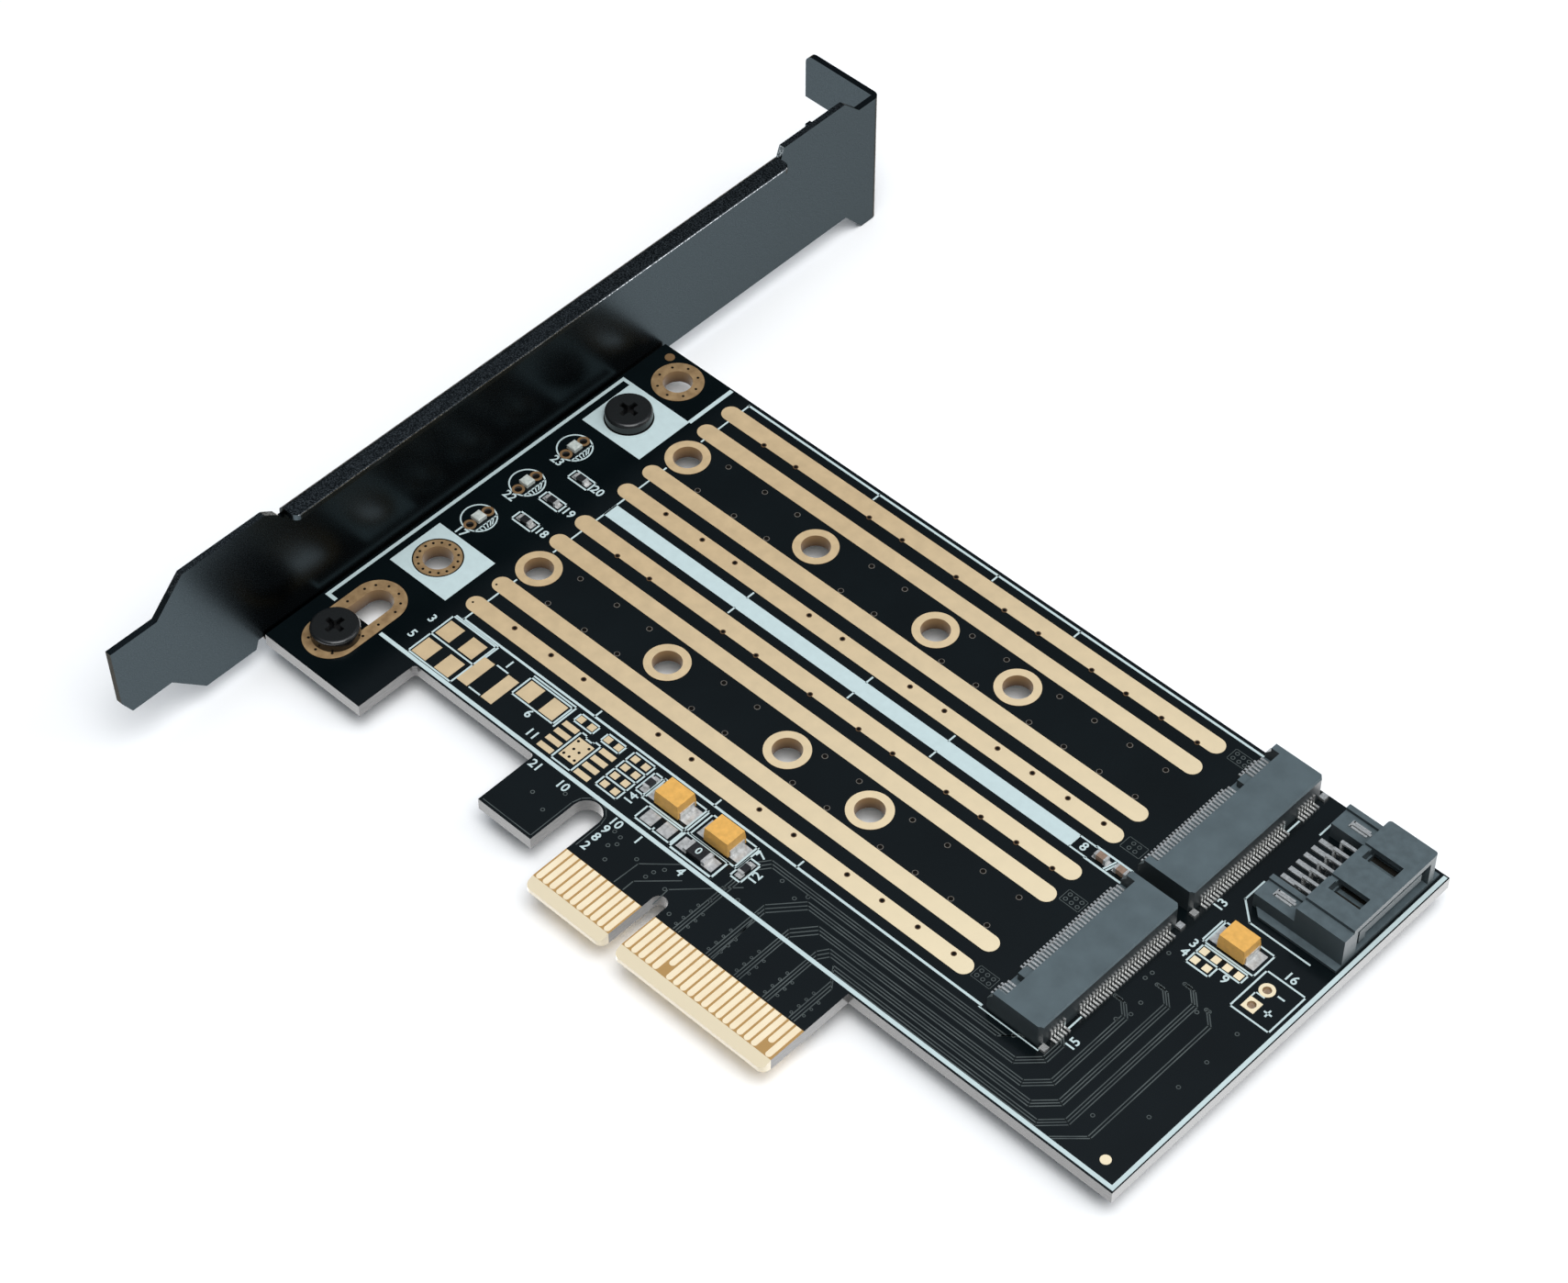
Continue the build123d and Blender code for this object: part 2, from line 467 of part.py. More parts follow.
# Data header: shrouded body with two windows, low rear wings and a keyed contact blade
head_y, step_y = hy0 + pin_centre, hy0 + step_w
pins = [head_y + (i - (pin_count - 1) / 2) * pin_pitch for i in range(pin_count)]
mouth_x = hx1 + shroud_wall
mouth_y0, mouth_y1, mouth_z1 = step_y + 0.65, hy1 - shroud_wall - 0.1, roof_h - mouth_roof
blade_z0, blade_z1, blade_x = mouth_floor + 1.1, mouth_floor + 2.2, hx2 - 0.35
with BuildPart() as header_housing:
    box(hx1, hx2, step_y, hy1, 0, roof_h)
    box(hx1, hx2, hy0, step_y, 0, step_h)
    fillet(header_housing.edges().filter_by(Axis.Z).filter_by_position(Axis.Y, hy1 - 0.01, hy1 + 0.01), 0.4)
    box(hx0, hx1, hy0, hy0 + wing_low_w, 0, wing_h)
    box(hx0, hx1, hy0 + wing_low_w - lug_w, hy0 + wing_low_w, wing_h, wing_h + lug)
    box(hx0, hx1, hy1 - wing_high_w, hy1 + lug, 0, wing_h)
    box(hx0, hx1, hy1 - 0.25, hy1 + lug, wing_h, wing_h + lug)
    # Foot flange along both sides, its rear corner cut off
    with BuildSketch(Plane.XY):
        Polygon((hx0 + 0.5, hy0), (hx0 + 1.5, hy0 - flange_w), (hx2, hy0 - flange_w), (hx2, hy0), align=None)
        Polygon((hx1, hy1 - 1.0), (hx1, hy1 + flange_w - 0.05), (hx2, hy1 + flange_w - 0.05), (hx2, hy1 - 1.0),
                align=None)
    extrude(amount=flange_h)
    # Mouth, the blade in it, and the windows for the plug's latch
    box(mouth_x, hx2 + 1, mouth_y0, mouth_y1, mouth_floor, mouth_z1, Mode.SUBTRACT)
    for y in (head_y - window_pitch / 2, head_y + window_pitch / 2):
        box(hx1 + 0.9, hx2 - rim_w, y - window_w / 2, y + window_w / 2, mouth_z1 - 0.5, roof_h + 1, Mode.SUBTRACT)
        box(hx1 - 0.1, hx1 + 0.9, y + window_w / 2 - 0.5, y + window_w / 2, roof_h - 0.35, roof_h + 1, Mode.SUBTRACT)
    box(mouth_x - 0.1, blade_x, mouth_y0 + 0.9, mouth_y1 - 0.9, blade_z0, blade_z1)
    box(mouth_x - 0.1, blade_x, mouth_y0 + 0.9, mouth_y0 + 2.0, blade_z0 - 0.8, blade_z0 + 0.05)
save(header_housing, "data_header_housing")

with BuildPart() as header_contacts:
    knee = hx1 - wing_len * 0.56
    bars(pins, knee, hx1, 0.4, wing_h - 0.05, wing_h + 0.2)
    bars(pins, knee, knee + 0.3, 0.4, 0, wing_h)
    bars(pins, hx0 - 0.25, knee + 0.1, pin_w, 0, 0.25)
    bars(pins, mouth_x, blade_x - 0.45, 0.7, blade_z1, blade_z1 + 0.06)
save(header_contacts, "data_header_contacts")

with BuildPart() as header_feet:
    for y in (hy0 + (wing_low_w - lug_w) * 2 / 3, hy1 - wing_high_w / 2):
        box(hx0 + 1.6, hx1 - 1.1, y - 0.15, y + 0.15, wing_h, wing_h + 0.25)
save(header_feet, "data_header_hold_downs")

# Moulded capacitors: a case tapered above its mould line, with folded terminals
mould_line = 0.45
for key, (cx, cy) in tantalums.items():
    with BuildPart() as case:
        with BuildSketch(Plane.XY.offset(case_lift)):
            with Locations((cx, cy)):
                Rectangle(case_l, case_w)
        extrude(amount=case_h * mould_line)
        with BuildSketch(Plane.XY.offset(case_lift + case_h * mould_line)):
            with Locations((cx, cy)):
                Rectangle(case_l, case_w)
        extrude(amount=case_h * (1 - mould_line), taper=5)
    save(case, f"moulded_capacitor_{key}")
with BuildPart() as case_terminals:
    for cx, cy in tantalums.values():
        for s in (-1, 1):
            side_x, leg_x = cx + s * case_l / 2, cx + s * (case_l / 2 + leg_t)
            xa, xb = sorted((side_x - s * 0.8, leg_x))
            box(xa, xb, cy - case_w / 2 + 0.3, cy + case_w / 2 - 0.3, skin, case_lift)
            xa, xb = sorted((side_x, leg_x))
            box(xa, xb, cy - case_w / 2 + 0.3, cy + case_w / 2 - 0.3, skin, case_lift + case_h * mould_line)
save(case_terminals, "moulded_capacitor_terminals")


def chip(cx, cy, turn, length, width, height, cap):
    """Ceramic body of a two-terminal chip between its end caps."""
    with Locations(Location((cx, cy, skin + height / 2), (0, 0, turn))):
        Box(length - 2 * cap, width, height)


def chip_ends(cx, cy, turn, length, width, height, cap):
    """The two metal end caps of a chip."""
    with Locations(Location((cx, cy, skin + height / 2), (0, 0, turn))):
        with Locations((length / 2 - cap / 2, 0, 0), (-length / 2 + cap / 2, 0, 0)):
            Box(cap, width, height)


for key, (cx, cy, turn) in resistors.items():
    with BuildPart() as body:
        chip(cx, cy, turn, chip_l, chip_w, chip_h, cap_l)
    save(body, f"chip_resistor_{key}")
for key, (cx, cy) in chip_caps.items():
    with BuildPart() as body:
        chip(cx, cy, 0, chip_l, chip_w, chip_cap_h, cap_l)
    save(body, f"chip_capacitor_{key}")
with BuildPart() as body:
    chip(link_x, link_y, 0, link_l, link_w, link_h, link_cap)
save(body, "chip_link_resistor")
with BuildPart() as chip_end_caps:
    for cx, cy, turn in resistors.values():
        chip_ends(cx, cy, turn, chip_l, chip_w, chip_h, cap_l)
    for cx, cy in chip_caps.values():
        chip_ends(cx, cy, 0, chip_l, chip_w, chip_cap_h, cap_l)
    chip_ends(link_x, link_y, 0, link_l, link_w, link_h, link_cap)
save(chip_end_caps, "chip_end_caps")

# Status lamps: small clear chips between their two through holes
for i, y in enumerate(led_y):
    with BuildPart() as lamp:
        with Locations((led_x, y, lamp_h / 2)):
            Box(lamp_l, lamp_w, lamp_h)
        chamfer(lamp.edges().group_by(Axis.Z)[-1], 0.12)
    save(lamp, f"status_lamp_{i + 1}")
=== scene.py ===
import math

import bpy
from bpy.props import FloatProperty, FloatVectorProperty, PointerProperty
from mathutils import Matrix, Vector


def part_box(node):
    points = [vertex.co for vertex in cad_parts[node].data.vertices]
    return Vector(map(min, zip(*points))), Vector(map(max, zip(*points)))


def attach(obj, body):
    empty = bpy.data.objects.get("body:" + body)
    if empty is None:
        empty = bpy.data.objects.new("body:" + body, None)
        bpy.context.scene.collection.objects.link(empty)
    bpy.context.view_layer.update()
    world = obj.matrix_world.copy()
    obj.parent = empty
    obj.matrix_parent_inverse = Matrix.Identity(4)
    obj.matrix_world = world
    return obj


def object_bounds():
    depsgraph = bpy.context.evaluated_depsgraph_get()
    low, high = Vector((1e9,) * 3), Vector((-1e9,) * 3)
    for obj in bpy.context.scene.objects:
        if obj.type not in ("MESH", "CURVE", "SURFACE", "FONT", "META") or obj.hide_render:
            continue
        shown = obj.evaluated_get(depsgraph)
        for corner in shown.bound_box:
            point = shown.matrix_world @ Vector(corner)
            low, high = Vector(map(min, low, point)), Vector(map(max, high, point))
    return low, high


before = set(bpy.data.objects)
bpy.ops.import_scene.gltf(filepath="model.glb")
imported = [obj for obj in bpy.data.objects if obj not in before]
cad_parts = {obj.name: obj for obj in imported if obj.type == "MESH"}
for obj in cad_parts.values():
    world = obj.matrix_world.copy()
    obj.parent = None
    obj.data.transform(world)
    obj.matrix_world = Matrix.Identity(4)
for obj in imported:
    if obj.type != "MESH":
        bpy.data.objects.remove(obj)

bl_info = {
    "name": "Drive adapter card",
    "version": (1, 0, 0),
    "blender": (4, 5, 0),
    "location": "3D View > Sidebar > Adapter Card",
    "description": "Prints, plating, tracks, finishes and a photo stage for a drive adapter card",
    "category": "Object",
}

MM = 0.001
CAD_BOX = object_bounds()


# Places on the card, in millimetres, read from the frame

def limits(node):
    """Lowest and highest corner of a solid, in millimetres."""
    low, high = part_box(node)
    return Vector(low) / MM, Vector(high) / MM


def centre(node):
    """Middle of a solid, in millimetres."""
    low, high = limits(node)
    return (low + high) / 2


BORDER_INSET = 0.25                     # from the board's edge to the printed border
EDGE_LOW = limits("printed_border")[0].y - BORDER_INSET     # low edge of the board beside the connector
STRIPS_LOW, STRIPS_HIGH = limits("heat_strips")
STRIPE_LOW, STRIPE_HIGH = limits("printed_centre_stripe")
STRIPE_Y = (STRIPE_LOW.y + STRIPE_HIGH.y) / 2
SOCKET_LOW, SOCKET_HIGH = limits("drive_socket_lower_housing")
HEADER_LOW, HEADER_HIGH = limits("data_header_housing")
LAMPS = [centre(f"status_lamp_{i}") for i in (1, 2, 3)]
SCREW_X, SCREW_HIGH_Y = centre("bracket_screw_high").xy
SPARE_HIGH_Y, SPARE_LOW_Y = 31.5, -6.6  # bracket holes that hold no screw
BAY_PITCH = centre("drive_socket_upper_housing").y
BAYS = (0.0, BAY_PITCH)
BOARD_THICK = limits("circuit_board")[1].z - limits("circuit_board")[0].z
SKIN = 0.05                             # thickness of the plated lands
LIP_EDGE, LIP_TOP = -13.05, 16.2        # free edge and top of the bracket's lip
WING_LENGTH = 5.3                       # header's wings, behind its mouth
CONTACT_WIDTH, CONTACT_PITCH = 0.24, 0.5        # contacts of the drive sockets
KEYS = (("lower", -6.0), ("upper", 5.4))        # keyed gaps, from the middles of the sockets
STRIP_ROWS = (-8.43, -4.45, 4.45, 8.43)         # heat strips of a bay
STRIP_CLEAR = 1.2                               # the print stays that far from a strip's middle
DRIVE_MARKS = (19.75, 37.65, 49.65)             # ticks of the drive lengths


def length_setting(name, description, millimetres):
    """A length that the panel shows."""
    return FloatProperty(name=name, description=description, default=millimetres * MM, min=0.0, unit="LENGTH")


def colour_setting(name, description, colour):
    """A colour that the panel shows."""
    return FloatVectorProperty(name=name, description=description, subtype="COLOR", size=4,
                               default=(*colour, 1))


class AdapterCardSizes(bpy.types.PropertyGroup):
    """Sizes of the fine work on the board."""

    print_line: length_setting("Printed line", "Width of the thin printed lines", 0.21)
    print_height: length_setting("Print thickness", "Height of the ink on the mask", 0.03)
    digit_height: length_setting("Printed digit", "Height of a printed digit", 1.15)
    via_width: length_setting("Via collar", "Outer width of a via's collar", 0.72)
    track_width: length_setting("Track", "Width of a copper track under the mask", 0.13)
    track_pitch: length_setting("Track pitch", "Distance between the tracks of a bundle", 0.36)


class AdapterCardColours(bpy.types.PropertyGroup):
    """Colours of the card's finishes."""

    mask: colour_setting("Mask", "Solder mask", (0.0016, 0.0040, 0.0050))
    plate: colour_setting("Gold plate", "Plated copper", (0.635, 0.470, 0.272))
    ink: colour_setting("Ink", "Printed ink", (0.53, 0.645, 0.65))
    laminate: colour_setting("Laminate", "Bare board at the edges", (0.115, 0.112, 0.11))
    coat: colour_setting("Bracket coat", "Sheen of the bracket's black coat", (0.034, 0.044, 0.050))
    screw: colour_setting("Screw", "Black of the bracket's screws", (0.0035, 0.0035, 0.004))
    socket: colour_setting("Socket", "Plastic of the sockets and the header", (0.082, 0.113, 0.126))
    case: colour_setting("Capacitor", "Moulded capacitor case", (0.80, 0.43, 0.095))
    steel: colour_setting("Contact", "Contacts and tinned lands", (0.80, 0.80, 0.78))


# Finishes

WALL = 0.5                              # a face whose normal has less of Z than this is a wall
FINISH = {}                             # finishes that more than one step uses
# Painted reflection on the plating, lighter towards the near corner: how it grows per millimetre of X and of
# Y, and its share at the origin
GOLD_SHEEN_SLOPE = (0.0118, -0.0065, -0.04)
# Painted reflection: the light colours that the plating and the hole linings grow to
PLATE_SHEEN, LINING_SHEEN = (0.88, 0.755, 0.52, 1), (0.86, 0.73, 0.50, 1)
BROWN_PLATE_BY_BRACKET = (0.22, 0.13, 0.06, 1)      # plating beside the bracket, darker and browner
UNDER_FINGERS = (0.42, 0.25, 0.09, 1)   # board between the edge contacts
NOSE = (0.72, 0.62, 0.44, 1)            # bevelled nose of the edge connector
HOLE_COPPER = (0.50, 0.32, 0.15, 1)     # walls of the small plated holes
# Where the small plated holes are: the power header's and the lamps', from and to X, from and to Y
BORED = ((94.3, 98.2, 7.0, 12.0), (SCREW_X + 1, -4.5, -4.0, 17.0))


def join_nodes(material, source, target):
    material.node_tree.links.new(source, target)


def feed(material, value, socket):
    """Joins a socket to what feeds it, or sets it where a number or a colour is given."""
    if isinstance(value, (int, float, tuple)):
        socket.default_value = value
    else:
        join_nodes(material, value, socket)


def shader_of(material):
    return material.node_tree.nodes["Principled BSDF"]


def set_specular(material, level):
    shader_of(material).inputs["Specular IOR Level"].default_value = level


def drift_colour(material):
    """The finish's own colour, before anything is laid over it."""
    return material.node_tree.nodes["Colour"].outputs["Color"]


def paint(material, colour):
    """Makes the colour the one that shows."""
    join_nodes(material, colour, shader_of(material).inputs["Base Color"])


def painted(material):
    """The colour that shows so far."""
    return shader_of(material).inputs["Base Color"].links[0].from_socket


def coordinate(material, output):
    """The place on the object, or the way that the face looks: Object or Normal."""
    return material.node_tree.nodes["Place"].outputs[output]


def axes(material, output):
    """X, Y and Z of a coordinate."""
    node = material.node_tree.nodes.new("ShaderNodeSeparateXYZ")
    join_nodes(material, coordinate(material, output), node.inputs["Vector"])
    return node.outputs


def noise(material, grain, detail, place=None):
    """Noise with grains of that many millimetres."""
    node = material.node_tree.nodes.new("ShaderNodeTexNoise")
    node.inputs["Scale"].default_value = 1 / (grain * MM)
    node.inputs["Detail"].default_value = detail
    join_nodes(material, coordinate(material, "Object") if place is None else place, node.inputs["Vector"])
    return node.outputs["Fac"]


def blend(material, value, low, high, dark, light):
    """A ramp from the dark colour at low to the light one at high."""
    node = material.node_tree.nodes.new("ShaderNodeValToRGB")
    for mark, place, colour in zip(node.color_ramp.elements, (low, high), (dark, light)):
        mark.position, mark.color = place, colour
    join_nodes(material, value, node.inputs["Fac"])
    return node


def surface(name, colour, shade, rough, metal=0.0, grain=0.4, bump=0.0, bump_grain=0.12, spread=0.08):
    """A finish whose colour and roughness drift over the piece, with a fine relief.

    The colour drifts between colour and shade in patches of grain millimetres, and bump is
    the relief's height in millimetres."""
    material = bpy.data.materials.new(name)
    material.use_nodes = True
    nodes, shader = material.node_tree.nodes, shader_of(material)
    nodes.new("ShaderNodeTexCoord").name = "Place"
    shader.inputs["Metallic"].default_value = metal
    drift = noise(material, grain, 4)
    ramp = blend(material, drift, 0.3, 0.72, shade, colour)
    ramp.name = "Colour"
    paint(material, ramp.outputs["Color"])
    polish = nodes.new("ShaderNodeMapRange")
    polish.inputs["To Min"].default_value = rough - spread / 2
    polish.inputs["To Max"].default_value = rough + spread / 2
    join_nodes(material, drift, polish.inputs["Value"])
    join_nodes(material, polish.outputs["Result"], shader.inputs["Roughness"])
    if bump:
        relief = nodes.new("ShaderNodeBump")
        relief.inputs["Distance"].default_value = bump * MM
        relief.inputs["Strength"].default_value = 1.0
        join_nodes(material, noise(material, bump_grain, 2), relief.inputs["Height"])
        join_nodes(material, relief.outputs["Normal"], shader.inputs["Normal"])
    return material


def darker(colour, share):
    """The same colour at that share of its light."""
    return (colour[0] * share, colour[1] * share, colour[2] * share, 1)


def maths(material, operation, *values, clamp=False):
    """One sum on numbers or on what sockets give."""
    node = material.node_tree.nodes.new("ShaderNodeMath")
    node.operation, node.use_clamp = operation, clamp
    for value, socket in zip(values, node.inputs):
        feed(material, value, socket)
    return node.outputs["Value"]


def step(material, value, edge, above=True):
    """1 where the value is past the edge and 0 elsewhere."""
    return maths(material, "GREATER_THAN" if above else "LESS_THAN", value, edge)


def both(material, first, second):
    """1 where both masks are 1."""
    return maths(material, "MULTIPLY", first, second)


def between(material, value, low, high):
    """1 where the value lies between two places in millimetres."""
    return both(material, step(material, value, low * MM), step(material, value, high * MM, above=False))


def walls(material):
    """1 on the walls and 0 on the level faces."""
    return step(material, maths(material, "ABSOLUTE", axes(material, "Normal")["Z"]), WALL, above=False)


def layer(material, below, colour, mask):
    """The colour laid over what is below, where the mask is 1."""
    node = material.node_tree.nodes.new("ShaderNodeMix")
    node.data_type = "RGBA"
    for value, name in ((mask, "Factor"), (below, "A"), (colour, "B")):
        feed(material, value, node.inputs[name])
    return node.outputs["Result"]


def paint_sheen_slope(material, sheen_colour, x_share, y_share, start):
    """Lays a painted reflection over the finish: a second colour growing by those shares per millimetre of X
    and Y.
    """
    run = material.node_tree.nodes.new("ShaderNodeVectorMath")
    run.operation = "DOT_PRODUCT"
    run.inputs[1].default_value = (x_share / MM, y_share / MM, 0)
    join_nodes(material, coordinate(material, "Object"), run.inputs[0])
    share = maths(material, "ADD", run.outputs["Value"], start, clamp=True)
    paint(material, layer(material, drift_colour(material), sheen_colour, share))


def upright(material, colour, deep_shade=None):
    """Gives the walls another colour than the level faces, growing through the board to the deep one, a
    painted shade deep in the holes.
    """
    if deep_shade:
        fall = material.node_tree.nodes.new("ShaderNodeMapRange")
        fall.inputs["From Min"].default_value = -0.1 * MM
        fall.inputs["From Max"].default_value = -BOARD_THICK * MM
        join_nodes(material, axes(material, "Object")["Z"], fall.inputs["Value"])
        colour = layer(material, colour, deep_shade, fall.outputs["Result"])
    paint(material, layer(material, painted(material), colour, walls(material)))


def board_surface(colours):
    """Solder mask on both faces, bare laminate on the cut edges, the nose and between the fingers."""
    material = surface("board_mask", tuple(colours.mask), darker(colours.mask, 0.7), 0.2, grain=9,
                       bump=0.0015, bump_grain=0.9)
    set_specular(material, 0.32)
    spot, wall = axes(material, "Object"), walls(material)
    # Cut edges: fibres lie along the board, so their streaks are flat in Z
    squeeze = material.node_tree.nodes.new("ShaderNodeMapping")
    squeeze.inputs["Scale"].default_value = (0.25, 0.25, 1.6)
    join_nodes(material, coordinate(material, "Object"), squeeze.inputs["Vector"])
    weave = noise(material, 0.25, 2, squeeze.outputs["Vector"])
    edge = blend(material, weave, 0.3, 0.7, darker(colours.laminate, 0.62), tuple(colours.laminate))
    # The mask is open round the edge contacts
    low, high = limits("edge_contacts_front")
    opened = both(material, step(material, spot["Y"], (high.y + 0.05) * MM, above=False),
                  between(material, spot["X"], low.x - 1, high.x + 1))
    nose = both(material, step(material, spot["Y"], (low.y - 0.03) * MM, above=False), opened)
    colour = layer(material, drift_colour(material), UNDER_FINGERS, opened)
    colour = layer(material, colour, edge.outputs["Color"], wall)
    colour = layer(material, colour, NOSE, nose)
    for x0, x1, y0, y1 in BORED:
        bored = both(material, between(material, spot["X"], x0, x1), between(material, spot["Y"], y0, y1))
        colour = layer(material, colour, HOLE_COPPER, both(material, wall, bored))
    paint(material, colour)
    return material


def finish_node(names, material):
    """Gives CAD solids their finish."""
    for name in names:
        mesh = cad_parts[name].data
        mesh.materials.clear()
        mesh.materials.append(material)


def finish_piece(piece, material):
    """Sets a new piece's finish and the body that it goes with."""
    piece.data.materials.clear()
    piece.data.materials.append(material)
    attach(piece, "root")


# Modelling helpers: each piece is drawn flat in edit mode and then raised

def open_piece(name):
    """Opens an empty mesh piece at the origin in edit mode."""
    bpy.ops.object.select_all(action="DESELECT")
    bpy.ops.mesh.primitive_plane_add(size=MM, location=(0, 0, 0))
    piece = bpy.context.object
    piece.name = name
    piece.data.name = name
    bpy.ops.object.mode_set(mode="EDIT")
    bpy.ops.mesh.select_all(action="SELECT")
    bpy.ops.mesh.delete(type="VERT")


def stroke(start, end, width, z=0.0, square=True):
    """A straight line on the board from start to end, in millimetres."""
    run = Vector(end) - Vector(start)
    middle = (Vector(end) + Vector(start)) / 2
    length = run.length + (width if square else 0)
    spot = (middle.x * MM, middle.y * MM, z * MM)
    bpy.ops.mesh.primitive_plane_add(size=width * MM, location=spot)
    bpy.ops.transform.resize(value=(length / width, 1, 1), center_override=spot)
    # With no window, a positive turn is clockwise
    bpy.ops.transform.rotate(value=-math.atan2(run.y, run.x), orient_axis="Z", center_override=spot)


def outline(x0, x1, y0, y1, width, sides="lrbt"):
    """The sides of a rectangle: l, r, b and t."""
    ends = {"l": ((x0, y0), (x0, y1)), "r": ((x1, y0), (x1, y1)), "b": ((x0, y0), (x1, y0)),
            "t": ((x0, y1), (x1, y1))}
    for side in sides:
        stroke(*ends[side], width)


def path(points, width):
    """Straight lines through the points, with closed corners."""
    for start, end in zip(points, points[1:]):
        stroke(start, end, width)


def close_piece(height):
    """Raises all that was drawn by the height and leaves edit mode."""
    if height:
        bpy.ops.mesh.select_all(action="SELECT")
        bpy.ops.mesh.extrude_region_move(TRANSFORM_OT_translate={"value": (0, 0, height)})
    bpy.ops.mesh.select_all(action="SELECT")
    bpy.ops.mesh.normals_make_consistent(inside=False)
    bpy.ops.object.mode_set(mode="OBJECT")
    return bpy.context.object


def disc(x, y, radius, z, segments):
    """One flat disc, drawn in the open piece."""
    bpy.ops.mesh.primitive_circle_add(vertices=segments, radius=radius * MM, fill_type="NGON",
                                      location=(x * MM, y * MM, z * MM))


def rings(spots, radius, width, segments, z=0.0):
    """Flat rings round the spots, drawn in the open piece."""
    bpy.ops.mesh.select_all(action="DESELECT")
    for x, y in spots:
        disc(x, y, radius, z, segments)
        bpy.ops.mesh.inset(thickness=width * MM)
        bpy.ops.mesh.delete(type="FACE")


def dots(spots, radius, segments, z=0.0):
    """Flat discs on the spots, drawn in the open piece."""
    for x, y in spots:
        disc(x, y, radius, z, segments)


def arc(x, y, radius, turns):
    """Places round a centre at those turns."""
    return [(x + radius * math.cos(turn), y + radius * math.sin(turn)) for turn in turns]


def round_spots(x, y, radius, count, turn):
    """Places evenly round a centre."""
    return arc(x, y, radius, [turn + 2 * math.pi * i / count for i in range(count)])


def via_spots():
    """The vias of both bays: on the plated strips, and between them on the mask."""
    long_row = (4.4, 10.1, 15.15, 26.5, 31.5, 41.5, 46.5, 54.15, 59.1, 64.1, 69.1)
    short_row = (4.95, 9.95, 21.3, 26.3, 34.4, 41.55, 46.5, 54.2, 59.1, 64.1, 69.1)
    rows = ((7.37, short_row, True), (2.13, long_row, False), (-2.9, long_row, False), (-8.0, long_row, True))
    plated, masked = [], []
    for bay in BAYS:
        for y, spots, on_strip in rows:
            (plated if on_strip else masked).extend((x, bay + y) for x in spots)
    return plated, masked


class BoardFinish(bpy.types.Operator):
    """Mask, laminate, plating and ink on the board's own solids"""
    bl_idname = "adapter_card.board_finish"
    bl_label = "Board finishes"

    def execute(self, context):
        colours = context.scene.adapter_card_colours
        plate = surface("gold_plate", tuple(colours.plate), darker(colours.plate, 0.86), 0.4, metal=0.15,
                        grain=1.6, bump=0.004, bump_grain=0.2)
        # Painted reflection: the plating grows lighter towards the near corner
        paint_sheen_slope(plate, PLATE_SHEEN, *GOLD_SHEEN_SLOPE)
        # The plating beside the bracket is darker and browner
        by_bracket = step(plate, axes(plate, "Object")["X"], (SCREW_X + 2) * MM, above=False)
        paint(plate, layer(plate, painted(plate), BROWN_PLATE_BY_BRACKET, by_bracket))
        lining = surface("hole_plate", darker(colours.plate, 0.92), darker(colours.plate, 0.76), 0.5,
                         metal=0.05, grain=1.2, bump=0.004, bump_grain=0.25)
        # Painted reflection: the hole linings grow lighter the same way
        paint_sheen_slope(lining, LINING_SHEEN, *GOLD_SHEEN_SLOPE)
        # Painted shade: the lining's walls grow darker towards the board's underside
        upright(lining, (0.34, 0.205, 0.095, 1), (0.07, 0.04, 0.022, 1))
        worn = surface("worn_plate", (0.37, 0.25, 0.13, 1), (0.22, 0.14, 0.07, 1), 0.4, metal=0.1, grain=1.1,
                       bump=0.004, bump_grain=0.25)
        # Painted shade: these walls grow darker towards the board's underside too
        upright(worn, (0.25, 0.15, 0.07, 1), (0.06, 0.035, 0.02, 1))
        for finish in (lining, worn):
            set_specular(finish, 0.05)
        finger = surface("finger_plate", (0.93, 0.80, 0.57, 1), (0.88, 0.73, 0.50, 1), 0.36, metal=0.1,
                         grain=2.5, bump=0.003, bump_grain=0.2)
        FINISH["ink"] = surface("print_ink", tuple(colours.ink), darker(colours.ink, 0.93), 0.5, grain=0.9,
                                bump=0.004, bump_grain=0.15)
        FINISH["tin"] = surface("tinned_land", (0.74, 0.74, 0.73, 1), (0.42, 0.42, 0.41, 1), 0.3, metal=0.5,
                                grain=0.5, bump=0.03, bump_grain=0.5)
        finish_node(["circuit_board"], board_surface(colours))
        finish_node(["heat_strips", "bare_lands"], plate)
        finish_node(["bay_hole_linings"], lining)
        finish_node(["bracket_hole_linings", "bracket_slot_lining"], worn)
        finish_node(["edge_contacts_front", "edge_contacts_back"], finger)
        finish_node(["printed_fields", "printed_centre_stripe", "printed_border"], FINISH["ink"])
        finish_node(["tinned_lands"], FINISH["tin"])
        return {"FINISHED"}


